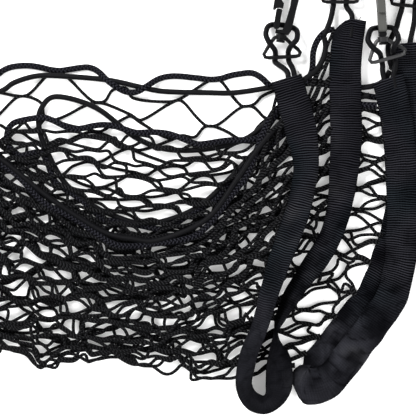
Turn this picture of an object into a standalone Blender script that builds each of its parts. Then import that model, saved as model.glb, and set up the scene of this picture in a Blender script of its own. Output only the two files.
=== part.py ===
# A cargo net as it lies in a heap: one sheet of cord netting folded in four layers, a webbing
# sleeve on each short edge, elastic along each long edge, and a snap hook at each corner.
# Lengths are in millimetres here and become metres where a mesh is made. +X is to the right and
# +Y away from the viewer, with the heap seen from straight above. +Z is up.
import math

import bmesh
import bpy
from mathutils import Matrix, Vector

MM = 0.001
HEAP_CENTRE = Vector((-38.65, 29.97, 0.0))  # the middle of the whole outline, which becomes the origin

# Netting. The sheet is counted in cells: COLUMNS from sleeve to sleeve, ROWS half cells from one
# long edge to the other. It is folded across at FOLD_COLUMN and along at FOLD_ROW.
COLUMNS = 7
FOLD_COLUMN = 3
ROWS = 26
FOLD_ROW = 13
CORD_WIDE = 3.0
CORD_THICK = 2.4
KNOT_HALF_LENGTH = 4.5
KNOT_TIP = 2.2
FOLD_KNOT_HALF_WIDTH = 3.0
EDGE_STEPS = 4
EDGE_OUT = 2.5  # the edge braid reaches this far out and in from its row of knots
EDGE_IN = 0.5
BAR_STRAIGHT = 1.3
LAYER_HEIGHT = {"front": 11.6, "second": 8.8, "third": 5.0, "last": 1.2}
SEWN_SHARE = 0.12  # the share of a row over which it comes to the height of its sleeve
SEWN_PULL = (0.3, 0.1)  # the same for its place in plan: at the long edge, and at the fold

# Sleeves and elastic
SLEEVE_THICK = 3.0
SLEEVE_BEVEL = 1.5
SLEEVE_STEPS = 2
ELASTIC = 4.3
GAP = 0.35

# Hook, along its own Y from the eye to the bow
HOOK_THICK = 6.0
HOOK_EDGE = 0.6
LEAF_THICK = 6.4
NECK_RADIUS = 1.9
BORE_RADIUS = 2.25
COLLAR_RADIUS = 4.2
COLLAR_HALF = 2.0
BUTTON_RADIUS = 3.3
BUTTON_LONG = 1.6
EYE_WIRE = 3.0
PIVOT = Vector((-4.8, 8.0, 0.0))
PIVOT_RADIUS = 2.4

# Each layer of netting as rows from its sleeve to its fold: (share from long edge to fold, points).
LAYERS = {
    "front": (
        (0.00, ((52, 86), (42, 52), (27, 17), (3, -15), (-38, -32), (-80, -27), (-131, 5),
                (-162, 30), (-209, 57), (-238, 67))),
        (0.30, ((62, 34), (45, 5), (23, -25), (-6, -47), (-45, -56), (-84, -51), (-123, -33),
                (-162, -11), (-209, 10), (-241, 14))),
        (0.65, ((50, -27), (33, -55), (5, -76), (-30, -86), (-69, -84), (-115, -73),
                (-162, -62), (-209, -50), (-243, -44))),
        (1.00, ((22, -129), (-2, -132), (-37, -125), (-70, -119), (-100, -120), (-131, -122),
                (-159, -114), (-201, -107), (-245, -101))),
    ),
    "second": (
        (0.00, ((97, 134), (82, 107), (60, 74), (36, 52), (-2, 48), (-40, 55), (-76, 60),
                (-104, 60), (-131, 66), (-154, 61))),
        (0.30, ((95, 65), (74, 37), (52, 20), (21, 10), (-14, 8), (-53, 12), (-88, 20),
                (-123, 26), (-154, 28), (-178, 23))),
        (0.65, ((75, -30), (56, -42), (25, -47), (-14, -48), (-53, -44), (-92, -39),
                (-131, -33), (-170, -27), (-207, -21))),
        (1.00, ((22, -129), (-2, -132), (-37, -125), (-70, -119), (-100, -120), (-131, -122),
                (-159, -114), (-201, -107), (-245, -101))),
    ),
    "third": (
        (0.00, ((131, 79), (104, 75), (83, 67), (62, 54), (40, 38), (19, 17), (-3, -3),
                (-27, -16), (-53, -18), (-79, -11), (-98, 0), (-118, 17), (-133, 39), (-154, 55))),
        (0.30, ((138, 14), (107, 10), (80, 2), (48, -11), (17, -29), (-22, -42), (-61, -42),
                (-100, -29), (-135, -11), (-178, 22))),
        (0.65, ((135, -49), (99, -50), (72, -60), (37, -72), (-6, -80), (-53, -76),
                (-100, -60), (-154, -42), (-207, -21))),
        (1.00, ((59, -129), (42, -129), (21, -126), (-2, -127), (-37, -119), (-70, -114),
                (-100, -115), (-131, -116), (-159, -108), (-201, -102), (-240, -96))),
    ),
    "last": (
        (0.00, ((147, 84), (122, 88), (95, 97), (71, 100), (47, 101), (13, 102), (-22, 101),
                (-61, 92), (-88, 107), (-123, 108), (-154, 110), (-186, 98), (-217, 82), (-238, 67))),
        (0.30, ((141, 14), (111, 19), (72, 20), (33, 16), (-6, 14), (-53, 17), (-100, 22),
                (-147, 22), (-201, 18), (-241, 12))),
        (0.65, ((126, -42), (99, -47), (64, -52), (25, -56), (-14, -58), (-61, -55),
                (-108, -48), (-154, -44), (-201, -42), (-243, -44))),
        (1.00, ((59, -129), (42, -129), (21, -126), (-2, -127), (-37, -119), (-70, -114),
                (-100, -115), (-131, -116), (-159, -108), (-201, -102), (-240, -96))),
    ),
}

# Sleeves from the end of one leg round the bend to the end of the other:
# (x, y, height that it lies on, width, roll in degrees). The netting is sewn to the right edge.
SLEEVE_A = (
    (61, 101, 12.4, 24, 0), (66, 84, 12.0, 25, 0), (72, 61, 11.4, 25, 0), (76, 37, 10.6, 25, 8),
    (74, 16, 10.8, 25, 22), (68, -8, 11.2, 25, 34), (55, -42, 11.4, 25, 46),
    (46, -70, 11.6, 25, 58), (40, -92, 11.6, 25, 62), (33.5, -108, 11.6, 25, 60),
    (29.5, -121, 11.4, 25, 60), (27.5, -134, 8.5, 25, 62), (30, -144, 5.0, 25, 58),
    (36.5, -151, 3.0, 25, 52), (44.5, -153, 2.5, 25, 50), (51.5, -148, 3.5, 25, 46),
    (54.5, -138, 6.2, 25, 42), (54, -125, 7.4, 25, 52), (51.5, -113, 8.6, 25, 72),
    (50, -103, 9.0, 25, 88), (53, -88, 9.0, 25, 104), (60, -72, 8.6, 25, 122),
    (70, -56, 8.2, 25, 138), (83, -39, 7.6, 25, 148), (94, -21, 7.0, 25, 158),
    (101, 0, 6.6, 25, 168), (106, 30, 6.8, 25, 176), (108, 57, 7.6, 25, 180),
    (107, 84, 8.3, 25, 180), (107, 108, 8.3, 25, 180), (108, 127, 8.3, 25, 180),
    (111, 144, 8.3, 24, 180),
)
SLEEVE_B = (
    (140, 101, 7.8, 25, 0), (143, 88, 7.0, 25, 0), (147, 69, 4.4, 25, 0), (150, 45, 3.6, 25, 0),
    (151, 22, 3.6, 25, 0), (152, -2, 3.6, 25, 0), (151, -22, 3.6, 25, 0), (150, -41, 3.6, 25, 0),
    (143.5, -68, 3.6, 25, 0), (126, -94, 3.6, 25, 0), (113, -113, 3.6, 25, 0),
    (98, -131, 3.6, 25, 0), (86, -138, 3.6, 25, 0), (76, -138.5, 3.6, 25, 0),
    (70.5, -137.5, 3.6, 25, 0), (68.6, -136.8, 1.9, 25, 0), (70.5, -136, 0.1, 25, 0),
    (77, -131, 0.1, 25, 0), (86, -121, 0.1, 24, 0), (101, -102, 0.1, 24, 0),
    (115, -85, 0.1, 24, 0), (127, -68, 0.1, 24, 0), (135, -52, 0.1, 24, 0),
    (142, -34, 0.1, 24, 0), (148, -15, 0.1, 25, 0), (153, 6, 0.1, 25, 0),
    (158, 26, 0.1, 25, 0), (161, 45, 0.1, 25, 0), (161, 69, 0.1, 25, 0), (159, 92, 0.1, 25, 0),
    (157, 115, 0.1, 25, 0), (156, 129, 0.1, 25, 0),
)
HAIRPIN_ROW = 15  # sleeve B doubles back flat on itself here
# Where each layer is sewn on: sleeve, and shares of its length from long edge to fold.
SEAMS = {
    "front": ("a", (0.02, 0.115, 0.235, 0.405)),
    "second": ("a", (0.98, 0.865, 0.68, 0.53)),
    "third": ("b", (0.035, 0.152, 0.27, 0.47)),
    "last": ("b", (0.925, 0.794, 0.688, 0.515)),
}

# Elastic along the long edges: (x, y, z).
ELASTIC_NEAR = (
    (142, 107, 4.9), (136, 98.5, 4.9), (125, 94.5, 4.9), (112, 94.3, 5.0), (100, 95.5, 4.9),
    (89, 98, 4.9), (79, 99.5, 4.9), (71, 98, 4.9), (48, 94, 4.9), (21, 90, 4.9), (0, 90, 4.9),
    (-34, 91, 4.9), (-51, 94, 4.9), (-79, 100, 4.9), (-115, 103, 4.9), (-134, 103, 4.9),
    (-151, 98, 4.9), (-162, 91, 4.9), (-186, 84, 4.9), (-211, 78, 4.9), (-220, 70, 4.9),
    (-207, 63, 5.6), (-181, 50, 11.6), (-159, 36.5, 12.6), (-128, 11.5, 12.6),
    (-101, -7, 12.6), (-78, -19.8, 12.6), (-58, -24, 12.6), (-38, -24.8, 12.6),
    (-1.5, -9, 12.6), (21.5, 20.5, 12.6), (36.3, 54, 12.6), (44.3, 82, 12.6),
)
ELASTIC_FAR = (
    (90, 134, 9.6), (77, 109.8, 9.7), (71.5, 100, 9.8), (62.5, 87, 8.6), (54, 76, 6.8),
    (43, 64, 5.2), (27, 53, 4.9), (-1, 46, 4.9), (-33, 46, 4.9), (-58, 56, 4.9),
    (-87, 78, 4.9), (-118, 87, 4.9), (-130, 78, 4.9), (-132, 64, 4.9), (-126, 45, 4.9),
    (-112, 20, 4.9), (-93, 4, 4.9), (-76, -5, 4.9), (-53, -12, 4.9), (-30, -9, 4.9),
    (-6, 2, 4.9), (16, 22, 4.9), (37, 44, 4.9), (60, 61.5, 4.9), (81, 75.5, 4.9),
    (103, 83, 4.9), (126, 88, 5.8),
)


# Hooks: the centre of the eye's collar, degrees that the hook leans to the right, whether it
# stands on edge, degrees that the eye hangs to the left, and the two strands of its loop.
HOOKS = (
    {"number": 1, "at": (57, 133, 8.3), "lean": 9, "on_edge": False, "swing": 12,
     "left": ((62.3, 102.2, 14.0), (61, 107.5, 12.6)), "right": ((65.8, 108.5, 12.4), (67.3, 103.3, 13.9))},
    {"number": 2, "at": (103, 176, 8.3), "lean": 0, "on_edge": False, "swing": 0,
     "left": ((90.2, 134.4, 9.6), (92.5, 139, 9.4), (95.5, 147, 7.2)),
     "right": ((111.9, 150.5, 8.6), (112.4, 145.0, 10.1))},
    {"number": 3, "at": (136, 131, 13.0), "lean": -3.5, "on_edge": True, "swing": 12,
     "left": ((137.2, 101.2, 9.6), (136, 106.5, 9.6)), "right": ((145.4, 108, 9.6), (144.2, 103.5, 9.6))},
    {"number": 4, "at": (158, 173, 8.3), "lean": 5, "on_edge": False, "swing": 0,
     "left": ((142.7, 108.2, 4.9), (143.3, 110.3, 4.5), (141.2, 118, 3.8), (140.8, 127, 3.4),
              (144, 134.5, 3.2), (147.2, 141, 3.2), (149, 148, 3.4)),
     "right": ((161, 145, 3.2), (159.2, 136, 2.5), (158.2, 130.1, 2.4))},
)
# Half of the hitch of a loop round its hook, from below the eye to the middle of the hook's back.
HITCH = {
    "flat": ((-5.3, -19, -4.3), (-5, -15.4, -4.2), (-5, -12.3, -3.0), (-5.2, -10.8, 0.3),
             (-6.4, -8.4, 3.4), (-9, -5.2, 4.5), (-12, -0.5, 3.4), (-12.2, 4, 0.6), (-11.4, 6.8, -2.0),
             (-9.9, 8.3, -4.6), (-7.4, 9.3, -6.0), (0, 10, -6.0)),
    "on_edge": ((-5.3, -19, -4.3), (-5, -15.4, -4.2), (-5, -12.3, -3.0), (-5.2, -10.8, 0.3),
                (-6.4, -8.4, 3.4), (-9, -5.2, 4.5), (-11.8, -0.5, 3.6), (-10.8, 4.5, 1.2),
                (-8.5, 8.4, -4), (-5.2, 9.8, -9.1), (0, 10.2, -10.3)),
}


def smooth_step(value):
    value = min(1.0, max(0.0, value))
    return value * value * (3.0 - 2.0 * value)


class Curve:
    """A smooth curve through points, read by the share of its length in the measured values."""

    def __init__(self, points, steps=8, measured=2):
        points = [tuple(float(value) for value in point) for point in points]
        self.points = []
        for index in range(len(points) - 1):
            before = points[max(index - 1, 0)]
            start, end = points[index], points[index + 1]
            after = points[min(index + 2, len(points) - 1)]
            for step in range(steps):
                share = step / steps
                self.points.append(self.between(before, start, end, after, share))
        self.points.append(points[-1])
        self.lengths = [0.0]
        for start, end in zip(self.points, self.points[1:]):
            self.lengths.append(self.lengths[-1] + math.dist(start[:measured], end[:measured]))

    @staticmethod
    def between(before, start, end, after, share):
        square, cube = share * share, share * share * share
        values = []
        for a, b, c, d in zip(before, start, end, after):
            values.append(0.5 * (2 * b + (c - a) * share + (2 * a - 5 * b + 4 * c - d) * square
                                 + (3 * b - a - 3 * c + d) * cube))
        return tuple(values)

    def at(self, share):
        wanted = min(1.0, max(0.0, share)) * self.lengths[-1]
        low, high = 0, len(self.lengths) - 1
        while high - low > 1:
            middle = (low + high) // 2
            if self.lengths[middle] <= wanted:
                low = middle
            else:
                high = middle
        part = (wanted - self.lengths[low]) / max(self.lengths[high] - self.lengths[low], 1e-9)
        return tuple(a + (b - a) * part for a, b in zip(self.points[low], self.points[high]))


class Sleeve:
    """The middle line, edges and cross-sections of a webbing sleeve."""

    def __init__(self, table, hairpin=None):
        rows = []
        for index, (x, y, lies_on, width, roll) in enumerate(table):
            start, end = max(index - 1, 0), min(index + 1, len(table) - 1)
            turned = hairpin is not None and index > hairpin
            if hairpin is not None and index == hairpin:
                side = Vector((-0.35, 0.94, 0.0))
            else:
                if turned and start < hairpin + 1:
                    start = index
                if hairpin is not None and not turned and end > hairpin - 1:
                    end = index
                heading = Vector(table[end][:2]) - Vector(table[start][:2])
                heading.normalize()
                right = Vector((heading.y, -heading.x, 0.0)) * (-1 if turned else 1)
                roll = math.radians(roll)
                side = right * math.cos(roll) - Vector((0, 0, math.sin(roll)))
            rows.append((x, y, lies_on, width, *side))
        self.curve = Curve(rows)
        self.places = range(0, len(self.curve.points), 8 // SLEEVE_STEPS)

    def middle(self, values):
        x, y, lies_on, width, *side = values
        side = Vector(side).normalized()
        flat = math.hypot(side.x, side.y)
        return Vector((x, y, lies_on + GAP + width / 2 * abs(side.z) + SLEEVE_THICK / 2 * flat)), side

    def seam(self, share):
        """The point beside the edge that the netting is sewn to."""
        values = self.curve.at(share)
        middle, side = self.middle(values)
        clear = GAP + CORD_THICK / 2 * abs(side.z)
        return middle + side * (values[3] / 2 + clear)

    def section(self, place):
        points = self.curve.points
        middle, side = self.middle(points[place])
        before, _ = self.middle(points[max(place - 2, 0)])
        after, _ = self.middle(points[min(place + 2, len(points) - 1)])
        face = side.cross(after - before).normalized()
        edge = points[place][3] / 2
        flat, thick = edge - SLEEVE_BEVEL, SLEEVE_THICK / 2
        corners = ((edge, 0), (flat, thick), (-flat, thick), (-edge, 0), (-flat, -thick), (flat, -thick))
        return [middle + side * across + face * up for across, up in corners]


def remove_objects():
    for item in list(bpy.data.objects):
        bpy.data.objects.remove(item)


def make_material(name, colour, roughness, metallic=0.0):
    material = bpy.data.materials.new(name)
    material.use_nodes = True
    shader = material.node_tree.nodes["Principled BSDF"]
    shader.inputs["Base Color"].default_value = (*colour, 1.0)
    shader.inputs["Roughness"].default_value = roughness
    shader.inputs["Metallic"].default_value = metallic
    return material


def to_metres(point):
    return (Vector(point) - HEAP_CENTRE) * MM


def add_object(name, data, material, sharp=None):
    item = bpy.data.objects.new(name, data)
    item.data.materials.append(material)
    bpy.context.scene.collection.objects.link(item)
    if sharp is not None:
        data.shade_smooth()
        data.set_sharp_from_angle(angle=math.radians(sharp))
    return item


def add_mesh(name, mesh_builder, material, sharp=None):
    bmesh.ops.recalc_face_normals(mesh_builder, faces=mesh_builder.faces)
    mesh = bpy.data.meshes.new(name)
    mesh_builder.to_mesh(mesh)
    mesh_builder.free()
    return add_object(name, mesh, material, sharp)


# Sleeves and cords

def build_sleeve(name, sleeve, material):
    shape = bmesh.new()
    rings = []
    for place in sleeve.places:
        rings.append([shape.verts.new(to_metres(corner)) for corner in sleeve.section(place)])
    for ring, following in zip(rings, rings[1:]):
        for index in range(len(ring)):
            after = (index + 1) % len(ring)
            shape.faces.new((ring[index], ring[after], following[after], following[index]))
    shape.faces.new(rings[0])
    shape.faces.new(rings[-1])
    return add_mesh(name, shape, material, sharp=40)


def build_cord(name, route, material, spacing=2.6):
    curve = Curve(route, measured=3)
    count = min(80, max(8, round(curve.lengths[-1] / (spacing * ELASTIC))))
    data = bpy.data.curves.new(name, "CURVE")
    data.dimensions = "3D"
    data.bevel_depth = ELASTIC / 2 * MM
    data.bevel_resolution = 2
    data.use_fill_caps = True
    line = data.splines.new("POLY")
    line.points.add(count - 1)
    for index, point in enumerate(line.points):
        point.co = (*to_metres(curve.at(index / (count - 1))), 1.0)
    return add_object(name, data, material)


# Netting

class Netting:
    """The folded sheet: where each knot lies, and the mesh of knots, bars and edge braid."""

    def __init__(self, sleeves):
        self.sleeves = sleeves
        self.layers = {name: [(share, Curve(points)) for share, points in rows]
                       for name, rows in LAYERS.items()}
        self.shape = bmesh.new()
        self.pairs = {}
        self.upper_faces = []

    @staticmethod
    def layer_of(column, row):
        if column <= FOLD_COLUMN:
            return "front" if row <= FOLD_ROW else "second"
        return "last" if row <= FOLD_ROW else "third"

    @staticmethod
    def shares(layer, column, row):
        if layer in ("front", "second"):
            along = column / FOLD_COLUMN
        else:
            along = (COLUMNS - column) / (COLUMNS - FOLD_COLUMN)
        down = row / FOLD_ROW if layer in ("front", "last") else (ROWS - row) / (ROWS - FOLD_ROW)
        return along, down

    def row_share(self, layer, down):
        rows = self.layers[layer]
        low = max(index for index in range(len(rows) - 1) if rows[index][0] <= down + 1e-9)
        return low, (down - rows[low][0]) / (rows[low + 1][0] - rows[low][0])

    def seam(self, layer, down):
        sleeve, shares = SEAMS[layer]
        low, part = self.row_share(layer, min(down, 1.0))
        return self.sleeves[sleeve].seam(shares[low] + (shares[low + 1] - shares[low]) * part)

    def plan(self, layer, along, down):
        low, part = self.row_share(layer, down)
        first, second = self.layers[layer][low][1], self.layers[layer][low + 1][1]
        point = Vector(first.at(along)).lerp(Vector(second.at(along)), part)
        pull = SEWN_PULL[0] + (SEWN_PULL[1] - SEWN_PULL[0]) * min(down, 1.0)
        if along < pull:
            mouth = Vector(first.at(0.0)).lerp(Vector(second.at(0.0)), part)
            point += (self.seam(layer, down).xy - mouth) * (1 - along / pull) ** 2
        return point

    def height(self, layer, along, down):
        level = LAYER_HEIGHT[layer]
        return level + (self.seam(layer, down).z - level) * smooth_step(1 - along / SEWN_SHARE)

    def place(self, layer, column, row):
        along, down = self.shares(layer, column, row)
        point = self.plan(layer, along, down)
        return Vector((point.x, point.y, self.height(layer, along, down)))

    def headings(self, layer, column, row):
        """Unit directions in plan of a rising column number and a rising row number."""
        reach = 0.08
        low_column, high_column = max(column - reach, 0), min(column + reach, COLUMNS)
        low_row, high_row = max(row - reach, 0), min(row + reach, ROWS)
        if layer in ("front", "second"):
            high_column = min(high_column, FOLD_COLUMN)
        else:
            low_column = max(low_column, FOLD_COLUMN)
        if layer in ("front", "last"):
            high_row = min(high_row, FOLD_ROW)
        else:
            low_row = max(low_row, FOLD_ROW)
        across = (self.place(layer, high_column, row) - self.place(layer, low_column, row)).xy
        down = (self.place(layer, column, high_row) - self.place(layer, column, low_row)).xy
        across = across.normalized()
        square = Vector((-across.y, across.x))
        if square.dot(down) < 0:
            square = -square
        return Vector((*across, 0.0)), Vector((*square, 0.0))

    def pair(self, key, point, offset):
        """Two mesh points, one on each face of the sheet."""
        if key not in self.pairs:
            half = offset.normalized() * (CORD_THICK / 2)
            self.pairs[key] = (self.shape.verts.new(to_metres(point + half)),
                               self.shape.verts.new(to_metres(point - half)))
        return key

    def panel(self, *keys):
        self.upper_faces.append(keys)

    def side_up(self, layer):
        return Vector((0, 0, 1 if layer in ("front", "third") else -1))

    def corner(self, name, knot, layer, across, down, half_width=CORD_WIDE / 2):
        """A corner of a knot that lies flat in its layer."""
        column, row = knot
        direction, square = self.headings(layer, column, row)
        point = self.place(layer, column, row) + direction * across + square * (down * half_width)
        if column in (0, COLUMNS):
            point += self.stand_off(layer, row, square, direction * (1 if column == 0 else -1))
        return self.pair((*knot, name), point, self.side_up(layer))

    def stand_off(self, layer, row, square, outward):
        """The step that brings the corners of an edge knot clear of a seam it meets aslant."""
        down = self.shares(layer, 0, row)[1]
        along = (self.seam(layer, down + 0.02) - self.seam(layer, max(down - 0.02, 0.0))).xy
        along.normalize()
        away = Vector((-along.y, along.x, 0.0))
        if away.dot(outward) < 0:
            away = -away
        return away * (CORD_WIDE / 2 * abs(square.dot(away)))

    def flat_knot(self, column, row):
        layer = self.layer_of(column, row)
        knot = (column, row)
        long, tip = KNOT_HALF_LENGTH, KNOT_HALF_LENGTH + KNOT_TIP
        if column == 0:
            a = self.corner("a", knot, layer, 0, -1)
            e = self.corner("e", knot, layer, 0, 1)
        else:
            a = self.corner("a", knot, layer, -long, -1)
            e = self.corner("e", knot, layer, -long, 1)
            f = self.corner("f", knot, layer, -tip, 0)
            self.panel(f, a, e)
        if column == COLUMNS:
            b = self.corner("b", knot, layer, 0, -1)
            d = self.corner("d", knot, layer, 0, 1)
        else:
            b = self.corner("b", knot, layer, long, -1)
            d = self.corner("d", knot, layer, long, 1)
            c = self.corner("c", knot, layer, tip, 0)
            self.panel(b, c, d)
        self.panel(a, b, d, e)

    def long_fold_knot(self, column, row):
        """A knot on the fold along the sheet: its upper half in one layer, its lower in the next."""
        near, far = ("front", "second") if column < FOLD_COLUMN else ("last", "third")
        knot = (column, row)
        wide = FOLD_KNOT_HALF_WIDTH
        long, tip = KNOT_HALF_LENGTH, KNOT_HALF_LENGTH + KNOT_TIP
        a = self.corner("a", knot, near, -long, -1, wide)
        b = self.corner("b", knot, near, long, -1, wide)
        e = self.corner("e", knot, far, -long, 1, wide)
        d = self.corner("d", knot, far, long, 1, wide)
        middle = self.place(near, column, row)
        middle.z = (middle.z + self.place(far, column, row).z) / 2
        direction, square = self.headings(near, column, row)
        line = {}
        for name, across in (("f", -tip), ("m", -long), ("n", long), ("c", tip)):
            line[name] = self.pair((*knot, name), middle + direction * across, square)
        self.panel(line["f"], a, line["m"])
        self.panel(line["f"], line["m"], e)
        self.panel(a, b, line["n"], line["m"])
        self.panel(line["m"], line["n"], d, e)
        self.panel(b, line["c"], line["n"])
        self.panel(line["n"], line["c"], d)

    def cross_fold_knot(self, column, row):
        """A knot that turns round the fold across the sheet, from one layer to the one below."""
        above, below = ("front", "last") if row < FOLD_ROW else ("second", "third")
        knot = (column, row)
        long, tip = KNOT_HALF_LENGTH, KNOT_HALF_LENGTH + KNOT_TIP
        top, bottom = self.place(above, column, row), self.place(below, column, row)
        centre, radius = (top.z + bottom.z) / 2, (top.z - bottom.z) / 2
        outward, square = self.headings(above, column, row)
        f = self.corner("f", knot, above, -tip, 0)
        a = self.corner("a", knot, above, -long, -1)
        e = self.corner("e", knot, above, -long, 1)
        self.panel(f, a, e)
        start = (a, e)
        turns = 6
        for turn in range(turns + 1):
            angle = math.pi * turn / turns
            around = outward * math.sin(angle) + Vector((0, 0, math.cos(angle)))
            if row > FOLD_ROW:
                around = -around
            point = top + outward * (radius * math.sin(angle))
            point.z = centre + radius * math.cos(angle)
            half = square * (CORD_WIDE / 2)
            high = self.pair((*knot, "h", turn), point - half, around)
            low = self.pair((*knot, "l", turn), point + half, around)
            self.panel(start[0], high, low, start[1])
            start = (high, low)
        b = self.corner("b", knot, below, long, -1)
        d = self.corner("d", knot, below, long, 1)
        c = self.corner("c", knot, below, tip, 0)
        self.panel(start[0], b, d, start[1])
        self.panel(b, c, d)

    def bar(self, here, there, start, end):
        """A bar between two knots. One whose middle is off the straight has a joint there."""
        column, row = (here[0] + there[0]) / 2, (here[1] + there[1]) / 2
        layer = self.layer_of(column, row)
        middle = self.place(layer, column, row)
        straight = (self.place(self.layer_of(*here), *here) + self.place(self.layer_of(*there), *there)) / 2
        if (middle - straight).xy.length > BAR_STRAIGHT:
            ends = self.place(layer, column + 0.1, row + 0.2 * (there[1] - here[1]))
            heading = (ends - middle).xy.normalized()
            across = Vector((-heading.y, heading.x, 0.0))
            if across.xy.dot(self.headings(layer, column, row)[1].xy) < 0:
                across = -across
            half = across * (CORD_WIDE / 2)
            high = self.pair((*here, *there, "h"), middle - half, self.side_up(layer))
            low = self.pair((*here, *there, "l"), middle + half, self.side_up(layer))
            self.panel(start[0], high, low, start[1])
            start = (high, low)
        self.panel(start[0], end[0], end[1], start[1])

    def bars(self, column, row):
        """The two bars from a knot to the knots on its right."""
        here = (column, row)
        if column < COLUMNS and row > 0:
            there = (column + 0.5, row - 1)
            self.bar(here, there, ((*here, "b"), (*here, "c")), ((*there, "f"), (*there, "e")))
        if column < COLUMNS and row < ROWS:
            there = (column + 0.5, row + 1)
            self.bar(here, there, ((*here, "c"), (*here, "d")), ((*there, "a"), (*there, "f")))

    def edge_braid(self, column, row):
        """The braid from an edge knot to the next one along the same long edge."""
        layer = self.layer_of(column + 0.5, row)
        here, there = (column, row), (column + 1, row)
        outer, inner = ("b", "c") if row == 0 else ("c", "d")
        last_outer, last_inner = ("a", "f") if row == 0 else ("f", "e")
        start = ((*here, outer), (*here, inner))
        for step in range(1, EDGE_STEPS):
            at = column + 0.14 + 0.72 * step / EDGE_STEPS
            _, square = self.headings(layer, at, row)
            point = self.place(layer, at, row)
            upper, lower = (EDGE_OUT, EDGE_IN) if row == 0 else (EDGE_IN, EDGE_OUT)
            high = self.pair((*here, "edge", step), point - square * upper, self.side_up(layer))
            low = self.pair((*here, "edge_in", step), point + square * lower, self.side_up(layer))
            self.panel(start[0], high, low, start[1])
            start = (high, low)
        self.panel(start[0], (*there, last_outer), (*there, last_inner), start[1])

    def build(self, material):
        knots = []
        for row in range(ROWS + 1):
            shift = 0.5 * (row % 2)
            count = COLUMNS + 1 if row % 2 == 0 else COLUMNS
            knots += [(index + shift, row) for index in range(count)]
        for column, row in knots:
            if row == FOLD_ROW:
                self.long_fold_knot(column, row)
            elif column == FOLD_COLUMN:
                self.cross_fold_knot(column, row)
            else:
                self.flat_knot(column, row)
        for column, row in knots:
            self.bars(column, row)
            if row in (0, ROWS) and column < COLUMNS:
                self.edge_braid(column, row)
        borders = {}
        for keys in self.upper_faces:
            upper = [self.pairs[key][0] for key in keys]
            lower = [self.pairs[key][1] for key in keys]
            self.shape.faces.new(upper)
            self.shape.faces.new(lower[::-1])
            for first, second in zip(keys, keys[1:] + keys[:1]):
                edge = frozenset((first, second))
                borders[edge] = None if edge in borders else (first, second)
        for border in borders.values():
            if border:
                (one, under_one), (two, under_two) = self.pairs[border[0]], self.pairs[border[1]]
                self.shape.faces.new((two, one, under_one, under_two))
        return add_mesh("net", self.shape, material)


# Hooks, eyes and gates

def hook_frames(hook):
    """The frame of a hook's eye, and of its body, which may stand on edge."""
    lean = math.radians(hook["lean"])
    across, along = Vector((math.cos(lean), -math.sin(lean), 0)), Vector((math.sin(lean), math.cos(lean), 0))
    up = Vector((0, 0, 1))
    centre = Vector(hook["at"])
    flat = Matrix((across, along, up)).transposed().to_4x4()
    flat.translation = centre
    if not hook["on_edge"]:
        return flat, flat
    edge = Matrix((-up, along, across)).transposed().to_4x4()
    edge.translation = centre
    return flat, edge


def swing(point, turn):
    """The eye's lower part and the cord in it hang a little to one side of the hook."""
    angle = math.radians(turn) * smooth_step((-point[1] - 1.0) / 8.0)
    return Vector((point[0] * math.cos(angle) - point[1] * math.sin(angle),
                   point[0] * math.sin(angle) + point[1] * math.cos(angle), point[2]))


def to_heap(shape, frame):
    for corner in shape.verts:
        corner.co = to_metres(frame @ corner.co)


def plate(outline, thick, edge):
    """A flat plate of the outline, with a narrow bevel round both faces."""
    shape = bmesh.new()
    lower = [shape.verts.new((x, y, -thick / 2)) for x, y in outline]
    upper = [shape.verts.new((x, y, thick / 2)) for x, y in outline]
    faces = [shape.faces.new(lower[::-1]), shape.faces.new(upper)]
    for index in range(len(outline)):
        after = (index + 1) % len(outline)
        shape.faces.new((lower[index], lower[after], upper[after], upper[index]))
    rims = {side for face in faces for side in face.edges}
    bmesh.ops.bevel(shape, geom=list(rims), offset=edge, segments=1, affect="EDGES")
    return shape


def turned(profile, sides):
    """A round solid about the Y axis from (radius, y) points that start and end on the axis."""
    shape = bmesh.new()
    rings = []
    for radius, y in profile:
        angles = [2 * math.pi * side / sides for side in range(sides)]
        points = [(radius * math.cos(angle), y, radius * math.sin(angle)) for angle in angles]
        rings.append([shape.verts.new(points[0])] if radius == 0 else [shape.verts.new(p) for p in points])
    for ring, following in zip(rings, rings[1:]):
        for side in range(sides):
            after = (side + 1) % sides
            corners = [ring[side % len(ring)], ring[after % len(ring)],
                       following[after % len(following)], following[side % len(following)]]
            shape.faces.new(list(dict.fromkeys(corners)))
    return shape


def tube_ring(outer, inner, half, sides):
    """A collar about the Y axis."""
    shape = bmesh.new()
    corners = ((outer, -half), (outer, half), (inner, half), (inner, -half))
    rings = []
    for side in range(sides):
        angle = 2 * math.pi * side / sides
        rings.append([shape.verts.new((r * math.cos(angle), y, r * math.sin(angle))) for r, y in corners])
    for ring, following in zip(rings, rings[1:] + rings[:1]):
        for index in range(4):
            after = (index + 1) % 4
            shape.faces.new((ring[index], ring[after], following[after], following[index]))
    return shape


def wire(points, radius, sides):
    """A round wire through points in the plane Z = 0."""
    shape = bmesh.new()
    rings = []
    for index, point in enumerate(points):
        before, after = points[max(index - 1, 0)], points[min(index + 1, len(points) - 1)]
        along = (after - before).normalized()
        square = Vector((-along.y, along.x, 0))
        angles = [2 * math.pi * side / sides for side in range(sides)]
        rings.append([shape.verts.new(point + square * (radius * math.cos(angle))
                                      + Vector((0, 0, radius * math.sin(angle)))) for angle in angles])
    for ring, following in zip(rings, rings[1:]):
        for side in range(sides):
            after = (side + 1) % sides
            shape.faces.new((ring[side], ring[after], following[after], following[side]))
    shape.faces.new(rings[0])
    shape.faces.new(rings[-1])
    return shape


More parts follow.
